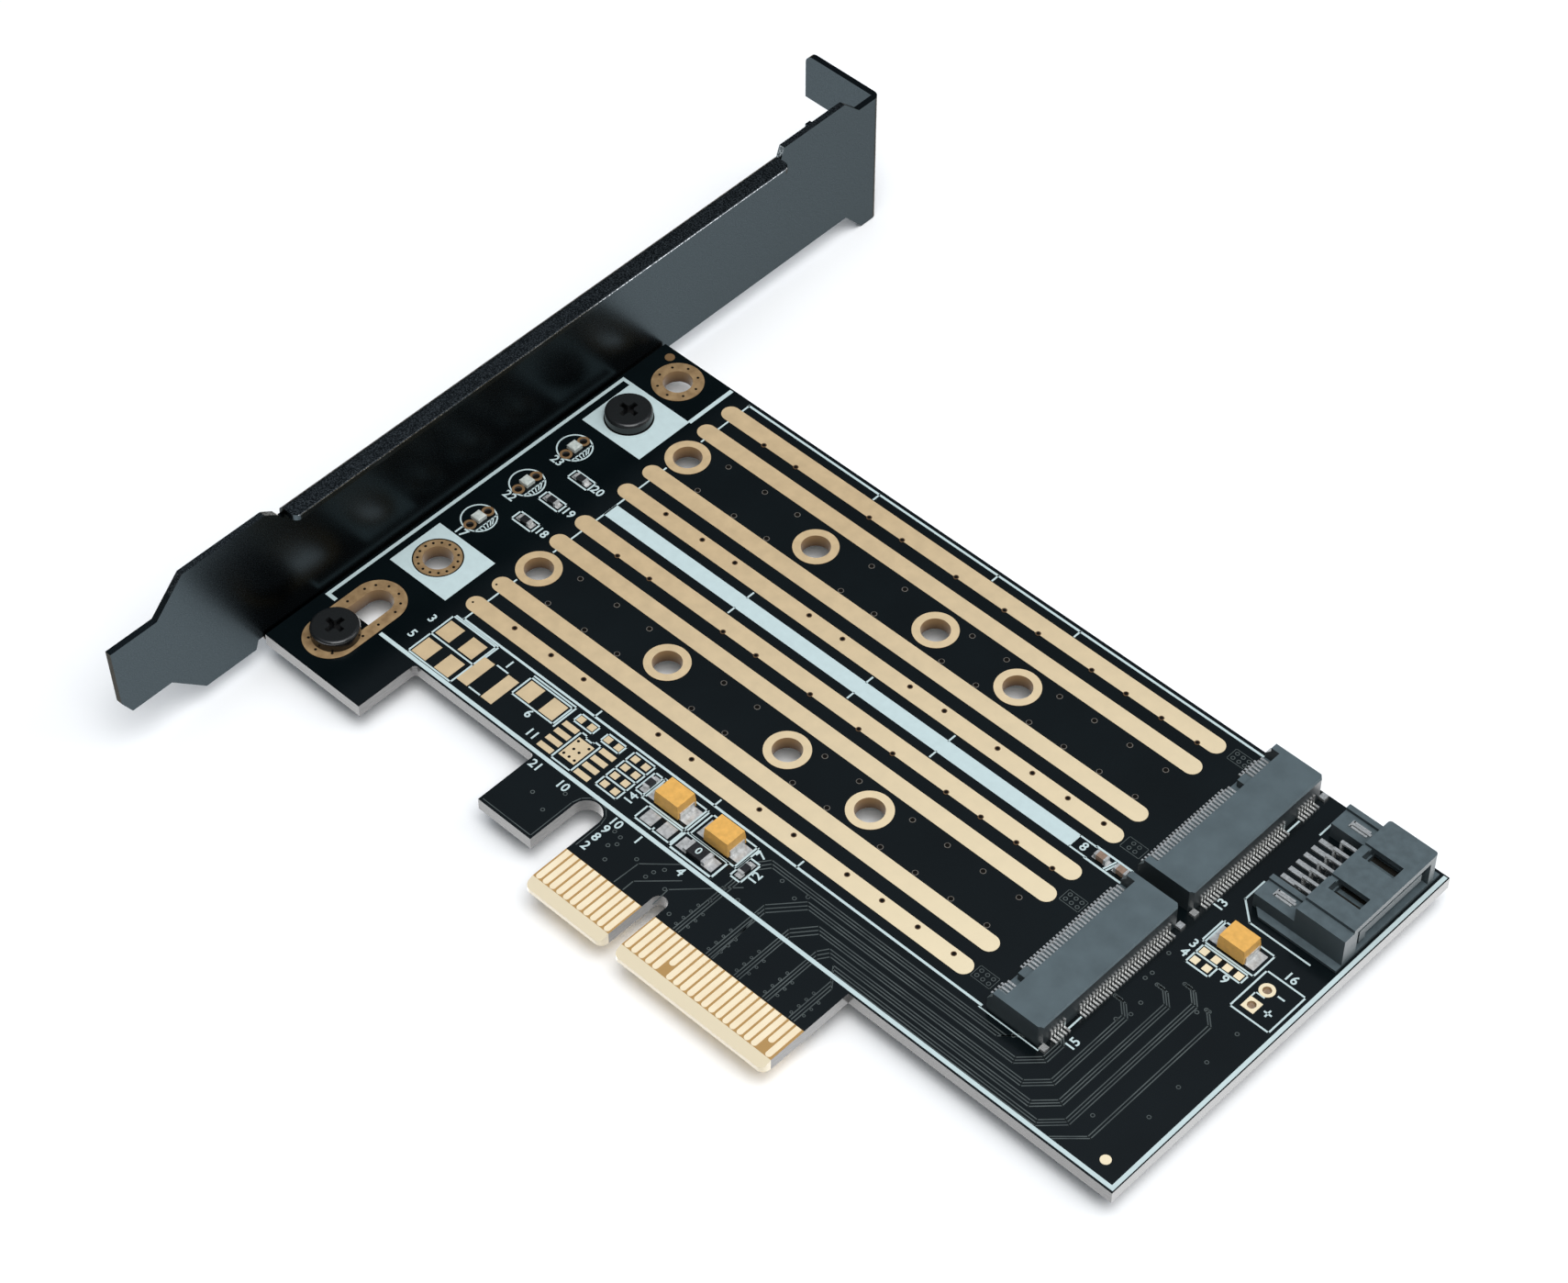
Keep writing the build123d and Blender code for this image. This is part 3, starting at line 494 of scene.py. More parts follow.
class BracketFinish(bpy.types.Operator):
    """Black coat of the bracket, and of the two screws"""
    bl_idname = "adapter_card.bracket_finish"
    bl_label = "Bracket finishes"

    def execute(self, context):
        colours = context.scene.adapter_card_colours
        coat = surface("black_coat", tuple(colours.coat), darker(colours.coat, 0.72), 0.27, metal=1.0,
                       grain=0.14, bump=0.0016, bump_grain=0.25, spread=0.04)
        shader_of(coat).inputs["Specular Tint"].default_value = (0.44, 0.41, 0.385, 1)
        self.lip(coat)
        screw = surface("black_screw", tuple(colours.screw), darker(colours.screw, 0.5), 0.22, grain=0.3,
                        bump=0.003, bump_grain=0.15)
        self.head(screw)
        finish_node(["mounting_bracket"], coat)
        finish_node(["bracket_screw_high", "bracket_screw_low"], screw)
        return {"FINISHED"}

    def head(self, screw):
        """The top of the screws' heads carries painted light: it is painted lighter than the recess and the
        sides.
        """
        top = step(screw, axes(screw, "Object")["Z"], (limits("bracket_screw_high")[1].z - 0.3) * MM)
        # Painted light: a lighter colour on the top of the heads
        paint(screw, layer(screw, drift_colour(screw), (0.012, 0.013, 0.0135, 1), top))

    def lip(self, coat):
        """A speckled coat on the rolled lip's top, painted lighter there as a painted sheen, and a painted
        highlight along its free edge.
        """
        spot, grit = axes(coat, "Object"), noise(coat, 0.16, 1)
        speckle_and_sheen, edge_highlight = (blend(coat, grit, 0.42, 0.72, dark, light).outputs["Color"] for dark, light in (
            ((0.022, 0.027, 0.030, 1), (0.17, 0.19, 0.20, 1)),
            ((0.10, 0.11, 0.12, 1), (0.55, 0.58, 0.60, 1))))
        # Real speckle and painted sheen: the lip's top is painted lighter, with light specks
        top = both(coat, step(coat, axes(coat, "Normal")["Z"], 0.3),
                   step(coat, spot["Z"], (LIP_TOP - 1) * MM))
        # Painted highlight: a light line along the lip's free edge
        edge = both(coat, step(coat, spot["X"], (LIP_EDGE - 0.12) * MM),
                    step(coat, spot["Z"], (LIP_TOP - 0.14) * MM))
        paint(coat, layer(coat, layer(coat, drift_colour(coat), speckle_and_sheen, top), edge_highlight, edge))


class ConnectorFinish(bpy.types.Operator):
    """Plastic and contacts of the drive sockets and the data header"""
    bl_idname = "adapter_card.connector_finish"
    bl_label = "Connector finishes"

    def execute(self, context):
        colours = context.scene.adapter_card_colours
        plastic = surface("socket_plastic", tuple(colours.socket), darker(colours.socket, 0.78), 0.45,
                          grain=2.5, bump=0.006, bump_grain=0.1)
        header = surface("header_plastic", darker(colours.socket, 0.95), darker(colours.socket, 0.7), 0.5,
                         grain=0.9, bump=0.008, bump_grain=0.12)
        # Painted shade: the walls of the sockets and of the header are painted darker than their tops
        upright(plastic, darker(colours.socket, 0.25))
        upright(header, darker(colours.socket, 0.4))
        steel = FINISH["steel"] = self.bright("contact_steel", colours)
        for side, _ in KEYS:
            finish_node([f"drive_socket_{side}_housing"], plastic)
            finish_node([f"drive_socket_{side}_{piece}" for piece in ("back_contacts", "front_contacts",
                                                                      "solder_feet")], steel)
        finish_node(["data_header_housing"], header)
        finish_node(["data_header_hold_downs"], steel)
        finish_node(["data_header_contacts"], self.header_contacts(colours))
        return {"FINISHED"}

    def bright(self, name, colours):
        """Bright plated metal."""
        return surface(name, tuple(colours.steel), darker(colours.steel, 0.7), 0.26, metal=0.8, grain=0.3,
                       bump=0.01, bump_grain=0.15)

    def header_contacts(self, colours):
        """Bright legs, and painted shade on the contacts in the header's mouth."""
        legs = self.bright("header_contact", colours)
        inside = step(legs, axes(legs, "Object")["X"], (HEADER_LOW.x + WING_LENGTH) * MM)
        # Painted shade: the contacts inside the header's mouth are painted dark
        paint(legs, layer(legs, drift_colour(legs), (0.07, 0.065, 0.055, 1), inside))
        return legs


class SocketContacts(bpy.types.Operator):
    """Front contacts where they rise over the sockets' front edge"""
    bl_idname = "adapter_card.socket_contacts"
    bl_label = "Socket contacts"

    def execute(self, context):
        spots = []
        for side, key in KEYS:
            low, high = limits(f"drive_socket_{side}_front_contacts")
            middle = centre(f"drive_socket_{side}_housing").y
            count = round((high.y - low.y - CONTACT_WIDTH) / CONTACT_PITCH) + 1
            rows = [low.y + CONTACT_WIDTH / 2 + CONTACT_PITCH * i for i in range(count)]
            spots += [y for y in rows if abs(y - middle - key) > 1.0]
        front = SOCKET_LOW.x
        for name, x1, z, height in (("front_contact_legs", front, 0.2, 0.95),
                                    ("front_contact_knees", front + 0.55, 1.15, 0.2)):
            open_piece(name)
            for y in spots:
                stroke((front - 0.12, y), (x1, y), CONTACT_WIDTH, z, square=False)
            finish_piece(close_piece(height * MM), FINISH["steel"])
        return {"FINISHED"}


class HeaderHoldDowns(bpy.types.Operator):
    """Folded sides of the header's hold-downs"""
    bl_idname = "adapter_card.header_hold_downs"
    bl_label = "Header hold-downs"

    def execute(self, context):
        low, high = limits("data_header_hold_downs")
        open_piece("hold_down_sides")
        for y in (low.y + 0.15, high.y - 0.15):
            for side in (-0.36, 0.36):
                stroke((low.x + 0.1, y + side), (high.x - 0.3, y + side), 0.26, low.z, square=False)
            stroke((low.x + 0.1, y - 0.48), (low.x + 0.1, y + 0.48), 0.3, low.z, square=False)
        finish_piece(close_piece(0.16 * MM), FINISH["steel"])
        return {"FINISHED"}


class SmallPartFinish(bpy.types.Operator):
    """Capacitor cases, chips and their end caps, and the lamps"""
    bl_idname = "adapter_card.small_part_finish"
    bl_label = "Small part finishes"

    def execute(self, context):
        colours = context.scene.adapter_card_colours
        case = surface("capacitor_case", tuple(colours.case), darker(colours.case, 0.8), 0.5, grain=0.7,
                       bump=0.02, bump_grain=0.35)
        black = surface("chip_black", (0.02, 0.02, 0.022, 1), (0.006, 0.006, 0.007, 1), 0.3)
        brown = surface("chip_brown", (0.30, 0.20, 0.145, 1), (0.20, 0.13, 0.09, 1), 0.45, grain=0.3)
        clear = surface("lamp_resin", (0.60, 0.64, 0.60, 1), (0.42, 0.46, 0.43, 1), 0.22, grain=0.35,
                        bump=0.03, bump_grain=0.4)
        finish_node([f"moulded_capacitor_{i}" for i in (1, 2, 3)], case)
        finish_node([f"chip_resistor_{i}" for i in range(1, 6)] + ["chip_link_resistor"], black)
        finish_node(["chip_capacitor_1", "chip_capacitor_2"], brown)
        finish_node([f"status_lamp_{i}" for i in (1, 2, 3)], clear)
        finish_node(["moulded_capacitor_terminals", "chip_end_caps"], FINISH["tin"])
        return {"FINISHED"}


class BayPrint(bpy.types.Operator):
    """Printed lines round the drive bays, their ticks and the dashed start line"""
    bl_idname = "adapter_card.bay_print"
    bl_label = "Bay print"

    def execute(self, context):
        sizes = context.scene.adapter_card_sizes
        line, dash = sizes.print_line / MM, 0.35
        open_piece("bay_print")
        start_x, end_x = -0.62, SOCKET_LOW.x - 0.7
        frame_low, frame_high = STRIPS_LOW.y - 1.32, STRIPS_HIGH.y + 1.2
        stroke((start_x, frame_low), (end_x, frame_low), 0.3)
        stroke((start_x, frame_high), (end_x, frame_high), 0.28)
        # The start line shows only between the strips, and as two dashes at the stand-off holes
        strips = [bay + side for bay in BAYS for side in STRIP_ROWS]
        gaps = [(frame_low, strips[0] - STRIP_CLEAR)]
        gaps += [(low + STRIP_CLEAR, high - STRIP_CLEAR) for low, high in zip(strips, strips[1:])]
        gaps += [(strips[-1] + STRIP_CLEAR, frame_high)]
        for low, high in gaps:
            if any(abs((low + high) / 2 - bay) < 1 for bay in BAYS):
                stroke((start_x, low), (start_x, low + dash), line)
                stroke((start_x, high - dash), (start_x, high), line)
            else:
                stroke((start_x, low), (start_x, high), line)
        for x in DRIVE_MARKS:
            for y, tick in ((frame_high, -1.0), (frame_low, 1.0),
                            (STRIPE_HIGH.y, 0.95), (STRIPE_LOW.y, -0.95)):
                stroke((x, min(y, y + tick)), (x, max(y, y + tick)), line)
        # Small chips at the end of the stripe: a frame on both sides with slashes between them
        middle = (limits("chip_capacitor_1")[0].x + limits("chip_capacitor_2")[1].x) / 2
        box_end = STRIPE_HIGH.x + 2.2
        outline(STRIPE_HIGH.x, box_end, STRIPE_LOW.y + 0.1, STRIPE_HIGH.y - 0.1, line, "bt")
        for y in (STRIPE_HIGH.y, STRIPE_LOW.y):
            stroke((box_end, y), (end_x, y), line + 0.05)
        for dx in (-0.22, 0.12):
            stroke((middle + dx - 0.2, STRIPE_LOW.y + 0.3), (middle + dx + 0.2, STRIPE_HIGH.y - 0.3), line)
        finish_piece(close_piece(sizes.print_height), FINISH["ink"])
        return {"FINISHED"}


class PartPrint(bpy.types.Operator):
    """Printed outlines of the small parts and the connectors"""
    bl_idname = "adapter_card.part_print"
    bl_label = "Part print"

    def execute(self, context):
        sizes = context.scene.adapter_card_sizes
        line, row = sizes.print_line / MM, EDGE_LOW
        open_piece("part_print")
        # Places along the low edge, measured up from it: frames from x0 to x1, then single lines
        for x0, x1, y0, y1 in ((-1.75, 4.9, 0.95, 7.8), (10.85, 17.2, 4.4, 7.45), (18.45, 21.3, 6.3, 7.6),
                               (22.55, 25.3, 6.3, 7.6), (32.6, 37.75, 1.35, 3.5)):
            outline(x0, x1, row + y0, row + y1, line)
        for x0, x1, y0, y1 in ((-1.75, 4.9, 4.35, 4.35), (5.15, 5.15, 4.6, 8.05), (-1.5, 5.15, 8.05, 8.05),
                               (6.95, 8.5, 1.85, 1.85), (6.95, 8.5, 6.1, 6.1), (17.5, 17.5, 4.3, 7.8),
                               (11.0, 17.5, 7.8, 7.8), (35.18, 35.18, 1.35, 1.7)):
            stroke((x0, row + y0), (x1, row + y1), line)
        # The eight-contact part, and eight small lands in four framed pairs
        corners = ((21.2, 5.75), (20.3, 5.75), (20.3, 1.1), (23.25, 1.1), (23.25, 5.75), (22.3, 5.75),
                   (22.3, 5.4), (21.2, 5.4), (21.2, 5.75))
        path([(x, row + y) for x, y in corners], line)
        for y in (1.68, 3.22, 4.7, 6.2, 7.75):
            stroke((26.4, row + y), (29.5, row + y), line)
        for x in (26.4, 29.5):
            stroke((x, row + 1.68), (x, row + 7.75), line)
        # Moulded capacitors, with a second line at the marked end
        for name, mark in (("1", 1), ("2", 1), ("3", -1)):
            spot = centre(f"moulded_capacitor_{name}")
            outline(spot.x - 3.4, spot.x + 3.4, spot.y - 1.75, spot.y + 1.75, line)
            stroke((spot.x + mark * 3.05, spot.y - 1.75), (spot.x + mark * 3.05, spot.y + 1.75), line)
        link = centre("chip_link_resistor")
        outline(link.x - 3.05, link.x + 3.05, link.y - 1.3, link.y + 1.3, line + 0.05)
        # Small resistors
        for name in "12345":
            low, high = limits(f"chip_resistor_{name}")
            spot, along = (low + high) / 2, high.x - low.x > high.y - low.y
            half_x, half_y = (1.55, 0.75) if along else (0.75, 1.55)
            outline(spot.x - half_x, spot.x + half_x, spot.y - half_y, spot.y + half_y, line)
        # Small lands beside the third capacitor
        spot = centre("moulded_capacitor_3")
        outline(spot.x - 2.9, spot.x + 3.0, spot.y - 3.4, spot.y - 2.05, line)
        outline(spot.x - 2.9, spot.x + 0.1, spot.y - 5.0, spot.y - 3.4, line, "lrb")
        # Power header, with its signs
        outline(93.75, 98.8, 6.5, 12.5, line)
        for start, end in (((96.7, 10.7), (97.4, 10.7)), ((96.85, 8.3), (97.65, 8.3)),
                           ((97.25, 7.9), (97.25, 8.7))):
            stroke(start, end, line)
        path([(94.6, 9.0), (94.6, 9.6), (95.7, 9.6)], line * 0.8)
        # Data header and the keyed gaps of the sockets
        left = HEADER_LOW.x - 1.05
        stroke((left + 0.3, HEADER_HIGH.y - 4.2), (left + 0.3, HEADER_HIGH.y + 0.1), line)
        path([(left, HEADER_LOW.y + 4.2), (left, HEADER_LOW.y + 1.1), (left + 2.3, HEADER_LOW.y - 1.0),
              (left + 10.2, HEADER_LOW.y - 1.0)], line)
        key_x = SOCKET_HIGH.x + 0.5
        for y in (-7.1, BAY_PITCH + 4.4):
            stroke((key_x, y), (key_x, y + 2.0), line)
        stroke((SOCKET_LOW.x - 0.7, SOCKET_LOW.y - 0.35), (SOCKET_HIGH.x, SOCKET_LOW.y - 0.35), line * 0.7)
        finish_piece(close_piece(sizes.print_height), FINISH["ink"])
        return {"FINISHED"}


class LampPrint(bpy.types.Operator):
    """Printed circles of the lamps, hatched on one side"""
    bl_idname = "adapter_card.lamp_print"
    bl_label = "Lamp print"

    def execute(self, context):
        sizes = context.scene.adapter_card_sizes
        line = sizes.print_line / MM * 0.85
        open_piece("lamp_print")
        rings([(lamp.x, lamp.y) for lamp in LAMPS], 2.15, line, 36)
        for lamp in LAMPS:
            chord = lamp.x + 1.15
            stroke((chord, lamp.y - 1.7), (chord, lamp.y + 1.7), line * 0.8)
            for dy in (-1.1, -0.5, 0.1, 0.7, 1.2):
                stroke((chord, lamp.y + dy), (lamp.x + 1.75, lamp.y + dy * 0.6 - 0.3), line * 0.8)
        finish_piece(close_piece(sizes.print_height), FINISH["ink"])
        return {"FINISHED"}


class PrintedNumbers(bpy.types.Operator):
    """Plain part numbers printed beside the parts"""
    bl_idname = "adapter_card.printed_numbers"
    bl_label = "Printed numbers"

    def execute(self, context):
        sizes = context.scene.adapter_card_sizes
        row = EDGE_LOW
        labels = [("3", -3.2, row + 5.9, 0), ("5", -3.2, row + 2.9, 0), ("1", 7.8, row + 7.05, 0),
                  ("6", 14.3, row + 3.6, 0), ("11", 16.6, row + 1.9, 0), ("21", 20.0, row - 0.9, 0),
                  ("10", 24.1, row - 0.9, 0), ("10", 31.8, row - 0.6, 0), ("9", 31.6, row - 1.95, 0),
                  ("8", 31.6, row - 3.35, 0), ("2", 31.6, row - 4.9, 0), ("1", 35.1, row - 0.6, 0),
                  ("4", 41.3, row - 0.6, 0), ("14", 30.6, row + 2.9, 90), ("7", 46.0, row + 6.85, 90),
                  ("12", 47.5, row + 4.2, 90), ("8", 69.6, STRIPE_Y, 0), ("13", 84.9, 15.8, 90),
                  ("15", 85.4, -8.2, 90), ("3", 86.1, 10.0, 0), ("4", 86.1, 8.5, 0), ("9", 91.3, 8.6, 0),
                  ("16", 96.2, 13.4, 0), ("23", SCREW_X - 1.1, 13.05, 0), ("22", SCREW_X - 1.1, 5.5, 0),
                  ("17", SCREW_X - 1.1, -2.05, 0), ("18", -3.7, 4.0, 0), ("19", -3.7, 8.2, 0),
                  ("20", -3.7, 12.8, 0)]
        made = []
        for text, x, y, turn in labels:
            made.append(self.number(text, x, y, 0.0, turn, sizes.digit_height, sizes.print_height))
        link = centre("chip_link_resistor")
        top = limits("chip_link_resistor")[1].z
        made.append(self.number("0", link.x, link.y, top, 0, sizes.digit_height * 0.8, 0.01 * MM))
        bpy.ops.object.select_all(action="DESELECT")
        for piece in made:
            piece.select_set(True)
        context.view_layer.objects.active = made[0]
        bpy.ops.object.join()
        piece = context.object
        piece.name = piece.data.name = "printed_numbers"
        finish_piece(piece, FINISH["ink"])
        return {"FINISHED"}

    def number(self, text, x, y, z, turn, height, thick):
        """One number as a mesh, centred on its place."""
        bpy.ops.object.select_all(action="DESELECT")
        bpy.ops.object.text_add(location=(x * MM, y * MM, z * MM + thick / 2),
                                rotation=(0, 0, math.radians(turn)))
        label = bpy.context.object
        label.data.body = text
        label.data.size = height / 0.72
        label.data.align_x = "CENTER"
        label.data.align_y = "CENTER"
        label.data.resolution_u = 3
        label.data.offset = height * 0.025
        label.data.extrude = thick / 2
        bpy.ops.object.convert(target="MESH")
        bpy.ops.object.transform_apply(location=True, rotation=True, scale=True)
        return bpy.context.object


class Vias(bpy.types.Operator):
    """Vias, stitching holes of the lands, rings in the printed fields and the lamps' lead holes"""
    bl_idname = "adapter_card.vias"
    bl_label = "Vias"

    def execute(self, context):
        outer = context.scene.adapter_card_sizes.via_width / MM / 2
        inner = outer * 0.74
        over_land, over_rim = (SKIN + 0.012) * MM, (SKIN + 0.014) * MM
        plated, masked = via_spots()
        collar = surface("via_collar", (0.17, 0.155, 0.135, 1), (0.09, 0.08, 0.07, 1), 0.3, grain=0.3)
        rim = surface("via_rim", (0.13, 0.07, 0.03, 1), (0.07, 0.038, 0.016, 1), 0.35, grain=0.3)
        bore = surface("via_bore", (0.004, 0.003, 0.002, 1), (0.002, 0.0015, 0.001, 1), 0.7, grain=0.2)
        set_specular(bore, 0.1)

        open_piece("masked_via_collars")
        rings(masked, outer, outer - inner, 16)
        finish_piece(close_piece(0.02 * MM), collar)

        open_piece("plated_via_rims")
        rings(plated, outer * 0.92, outer * 0.34, 16)
        finish_piece(close_piece(over_land), rim)

        open_piece("via_bores")
        dots(masked, inner, 14)
        dots(plated, outer * 0.62, 14)
        # Seven in the middle land of the eight-contact part, and two single ones
        pad = ((-0.8, -1.1), (0, -1.1), (0.8, -1.1), (-0.4, 0), (0.4, 0), (-0.8, 1.1), (0.8, 1.1))
        dots([(21.77 + dx, EDGE_LOW + 3.5 + dy) for dx, dy in pad], 0.18, 10)
        dots([(-1.7, -4.9), (-1.7, -8.5)], 0.14, 10)
        dots(self.stitches(), 0.17, 10)
        finish_piece(close_piece(over_rim), bore)

        # In the printed fields the ink comes up to the land, with a thin line of mask between
        fields = [(SCREW_X, SPARE_LOW_Y), (SCREW_X, SCREW_HIGH_Y)]
        open_piece("field_hole_lines")
        rings(fields, 2.93, 0.16, 48)
        finish_piece(close_piece(over_rim), bore)
        open_piece("field_hole_print")
        rings(fields, 3.26, 0.33, 48)
        finish_piece(close_piece(over_land), FINISH["ink"])

        # The vias go through, so they show on the back as well
        open_piece("back_via_collars")
        rings(masked + plated, outer, outer - inner, 16, -BOARD_THICK)
        finish_piece(close_piece(-0.02 * MM), collar)
        open_piece("back_via_bores")
        dots(masked + plated, inner, 14, -BOARD_THICK)
        finish_piece(close_piece(-0.014 * MM), bore)

        # Painted shade: dark discs down in the lamps' lead holes stand in for the shade inside them
        open_piece("lead_hole_shade")
        dots([(lamp.x, lamp.y + side) for lamp in LAMPS for side in (-1.4, 1.4)], 0.44, 16, -0.35)
        finish_piece(close_piece(0.1 * MM), bore)
        return {"FINISHED"}

    def stitches(self):
        """Small holes round the bracket's holes and its slot."""
        low, high = limits("bracket_slot_lining")
        half = (high.x - low.x) / 2
        reach, top_y, low_y = half - 0.75, high.y - half, low.y + half
        return (round_spots(SCREW_X, SPARE_HIGH_Y, 2.42, 8, 0.25)
                + round_spots(SCREW_X, SPARE_LOW_Y, 2.3, 15, 0.1)
                + arc(SCREW_X, top_y, reach, (0.1, 0.65, 1.25, 1.9, 2.5, 3.04))
                + [(SCREW_X + side * reach, top_y - drop) for side in (-1, 1) for drop in (2.3, 4.6)]
                + arc(SCREW_X, low_y, reach, (-0.7, -1.5, -2.3)))


class Tracks(bpy.types.Operator):
    """Copper tracks that show as ridges under the mask"""
    bl_idname = "adapter_card.tracks"
    bl_label = "Tracks"

    def execute(self, context):
        sizes = context.scene.adapter_card_sizes
        width, pitch, row = sizes.track_width / MM, sizes.track_pitch / MM, EDGE_LOW
        root = row - 6.3                # the tracks leave the edge contacts here
        covered = surface("covered_copper", (0.085, 0.100, 0.098, 1), (0.045, 0.054, 0.054, 1), 0.22, grain=3)
        set_specular(covered, 0.4)
        open_piece("tracks")
        # Bundles from the edge contacts round the end of the lower socket: finger, left, height, right, top
        bundles = ((46.3, 47.5, 6.8, 79.5, None), (51.0, 54.0, 5.4, 84.6, -9.0),
                   (55.0, 57.0, 3.85, 87.0, -2.0), (59.0, 59.8, 2.5, 89.2, 2.0), (62.7, 61.5, 1.2, 91.2, 4.0))
        ends = []
        for finger, left, height, right, top in bundles:
            drop = abs(left - finger) + 0.4
            for shift in (-pitch, 0.0, pitch):
                y = row + height + shift
                points = [(finger - shift, root), (finger - shift, y - drop), (left - shift, y)]
                if top is None:
                    points += [(right + shift, y), (right + shift + 1.2, y + 1.2)]
                else:
                    points += [(right - 2.2 - shift * 0.4, y),
                               (right - shift, row + height + 2.2 + shift * 0.4),
                               (right - shift, top), (right - shift - 1.4, top + 1.4),
                               (right - shift - 2.1, top + 1.4)]
                path(points, width)
                ends.append(points[-1])
        for shift in (-pitch / 2, pitch / 2):
            path([(92.6 + shift, 4.4), (94.0 + shift, 3.0), (94.0 + shift, row + 3.5),
                  (91.2 + shift, row + 0.85)], width)
            ends.append((92.6 + shift, 4.4))
        # Short runs near the key and the hook
        for run in (((38.6, -6.3), (38.6, -4.8), (42.2, -1.3)), ((42.2, -5.5), (42.0, -3.1), (47.45, 2.45)),
                    ((37.2, -6.2), (37.35, -2.8), (40.8, 0.35)), ((51.6, -6.3), (51.35, -1.2), (50.9, 1.15))):
            path([(x, row + y) for x, y in run], width)
        # Folds that bring both tracks of a pair to one length
        folds = [(bundle[0] + side * 0.62, row - 5.7 + 0.55 * k)
                 for bundle in bundles for k, side in enumerate((-1, 1, -1, 1, -1, 1, -1))]
        rings(folds, 0.19, 0.08, 10)
        # Vias closed over by the mask: along the low edge, and on the right of the sockets
        along = ((25.1, -1.45), (22.4, -3.65), (24.9, -4.6), (32.5, -1.45), (33.5, -1.6), (33.3, -3.25),
                 (33.9, -2.5), (34.4, -4.8), (36.8, -2.5), (39.1, -3.5), (39.3, -2.5), (39.9, -1.5),
                 (41.7, -3.3), (44.3, -5.3), (46.2, -1.1), (46.0, 1.0), (48.2, 0.9), (49.8, 5.9),
                 (52.3, 5.1), (53.2, 6.2))
        beside = [(85.0, 7.3), (85.4, 4.2), (85.3, 3.2), (87.0, 0.5), (87.2, -1.3), (86.5, -2.8), (91.9, 3.5),
                  (96.6, 4.2), (96.6, -0.6), (96.5, -4.9), (96.7, -9.7), (92.5, -13.4)]
        rings([(x, row + y) for x, y in along] + beside + ends, 0.26, 0.1, 12)
        # Copper's rim inside the hook and round the slot beside it
        bend = arc(28.615, -20.965, 2.17, (math.pi, 2.6, 2.1, 1.57, 1.04, 0.54, 0.0))
        path([(19.3, -27.05), (26.45, -27.05)] + bend + [(30.8, -24.6)], width * 0.8)
        # Small groups of vias with their collars in front of the sockets
        for x, y, columns in ((73.4, -8.0, 3), (73.5, 5.7, 3), (73.5, 15.4, 2), (74.0, 32.4, 3)):
            outline(x - 1.3, x + 1.3, y - 0.85, y + 0.85, width * 0.6)
            rings([(x + (i - (columns - 1) / 2) * 0.8, y + side * 0.38)
                   for i in range(columns) for side in (-1, 1)], 0.27, 0.1, 12)
        finish_piece(close_piece(0.014 * MM), covered)
        return {"FINISHED"}


FLOOR_GLOW = 2.2                        # of the floor in mirrors, over its white
LAMP_AIM = (0.04, 0.01, 0)              # middle of the card, in metres
SENSOR_WIDTH = 36.0                     # of the camera, in millimetres
# The photograph's camera: its place and lens in millimetres, and its turn in degrees
CAMERA_PLACE, CAMERA_TURN, CAMERA_LENS = (233.79, -208.12, 342.29), (41.347, -0.126, 43.475), 95.72


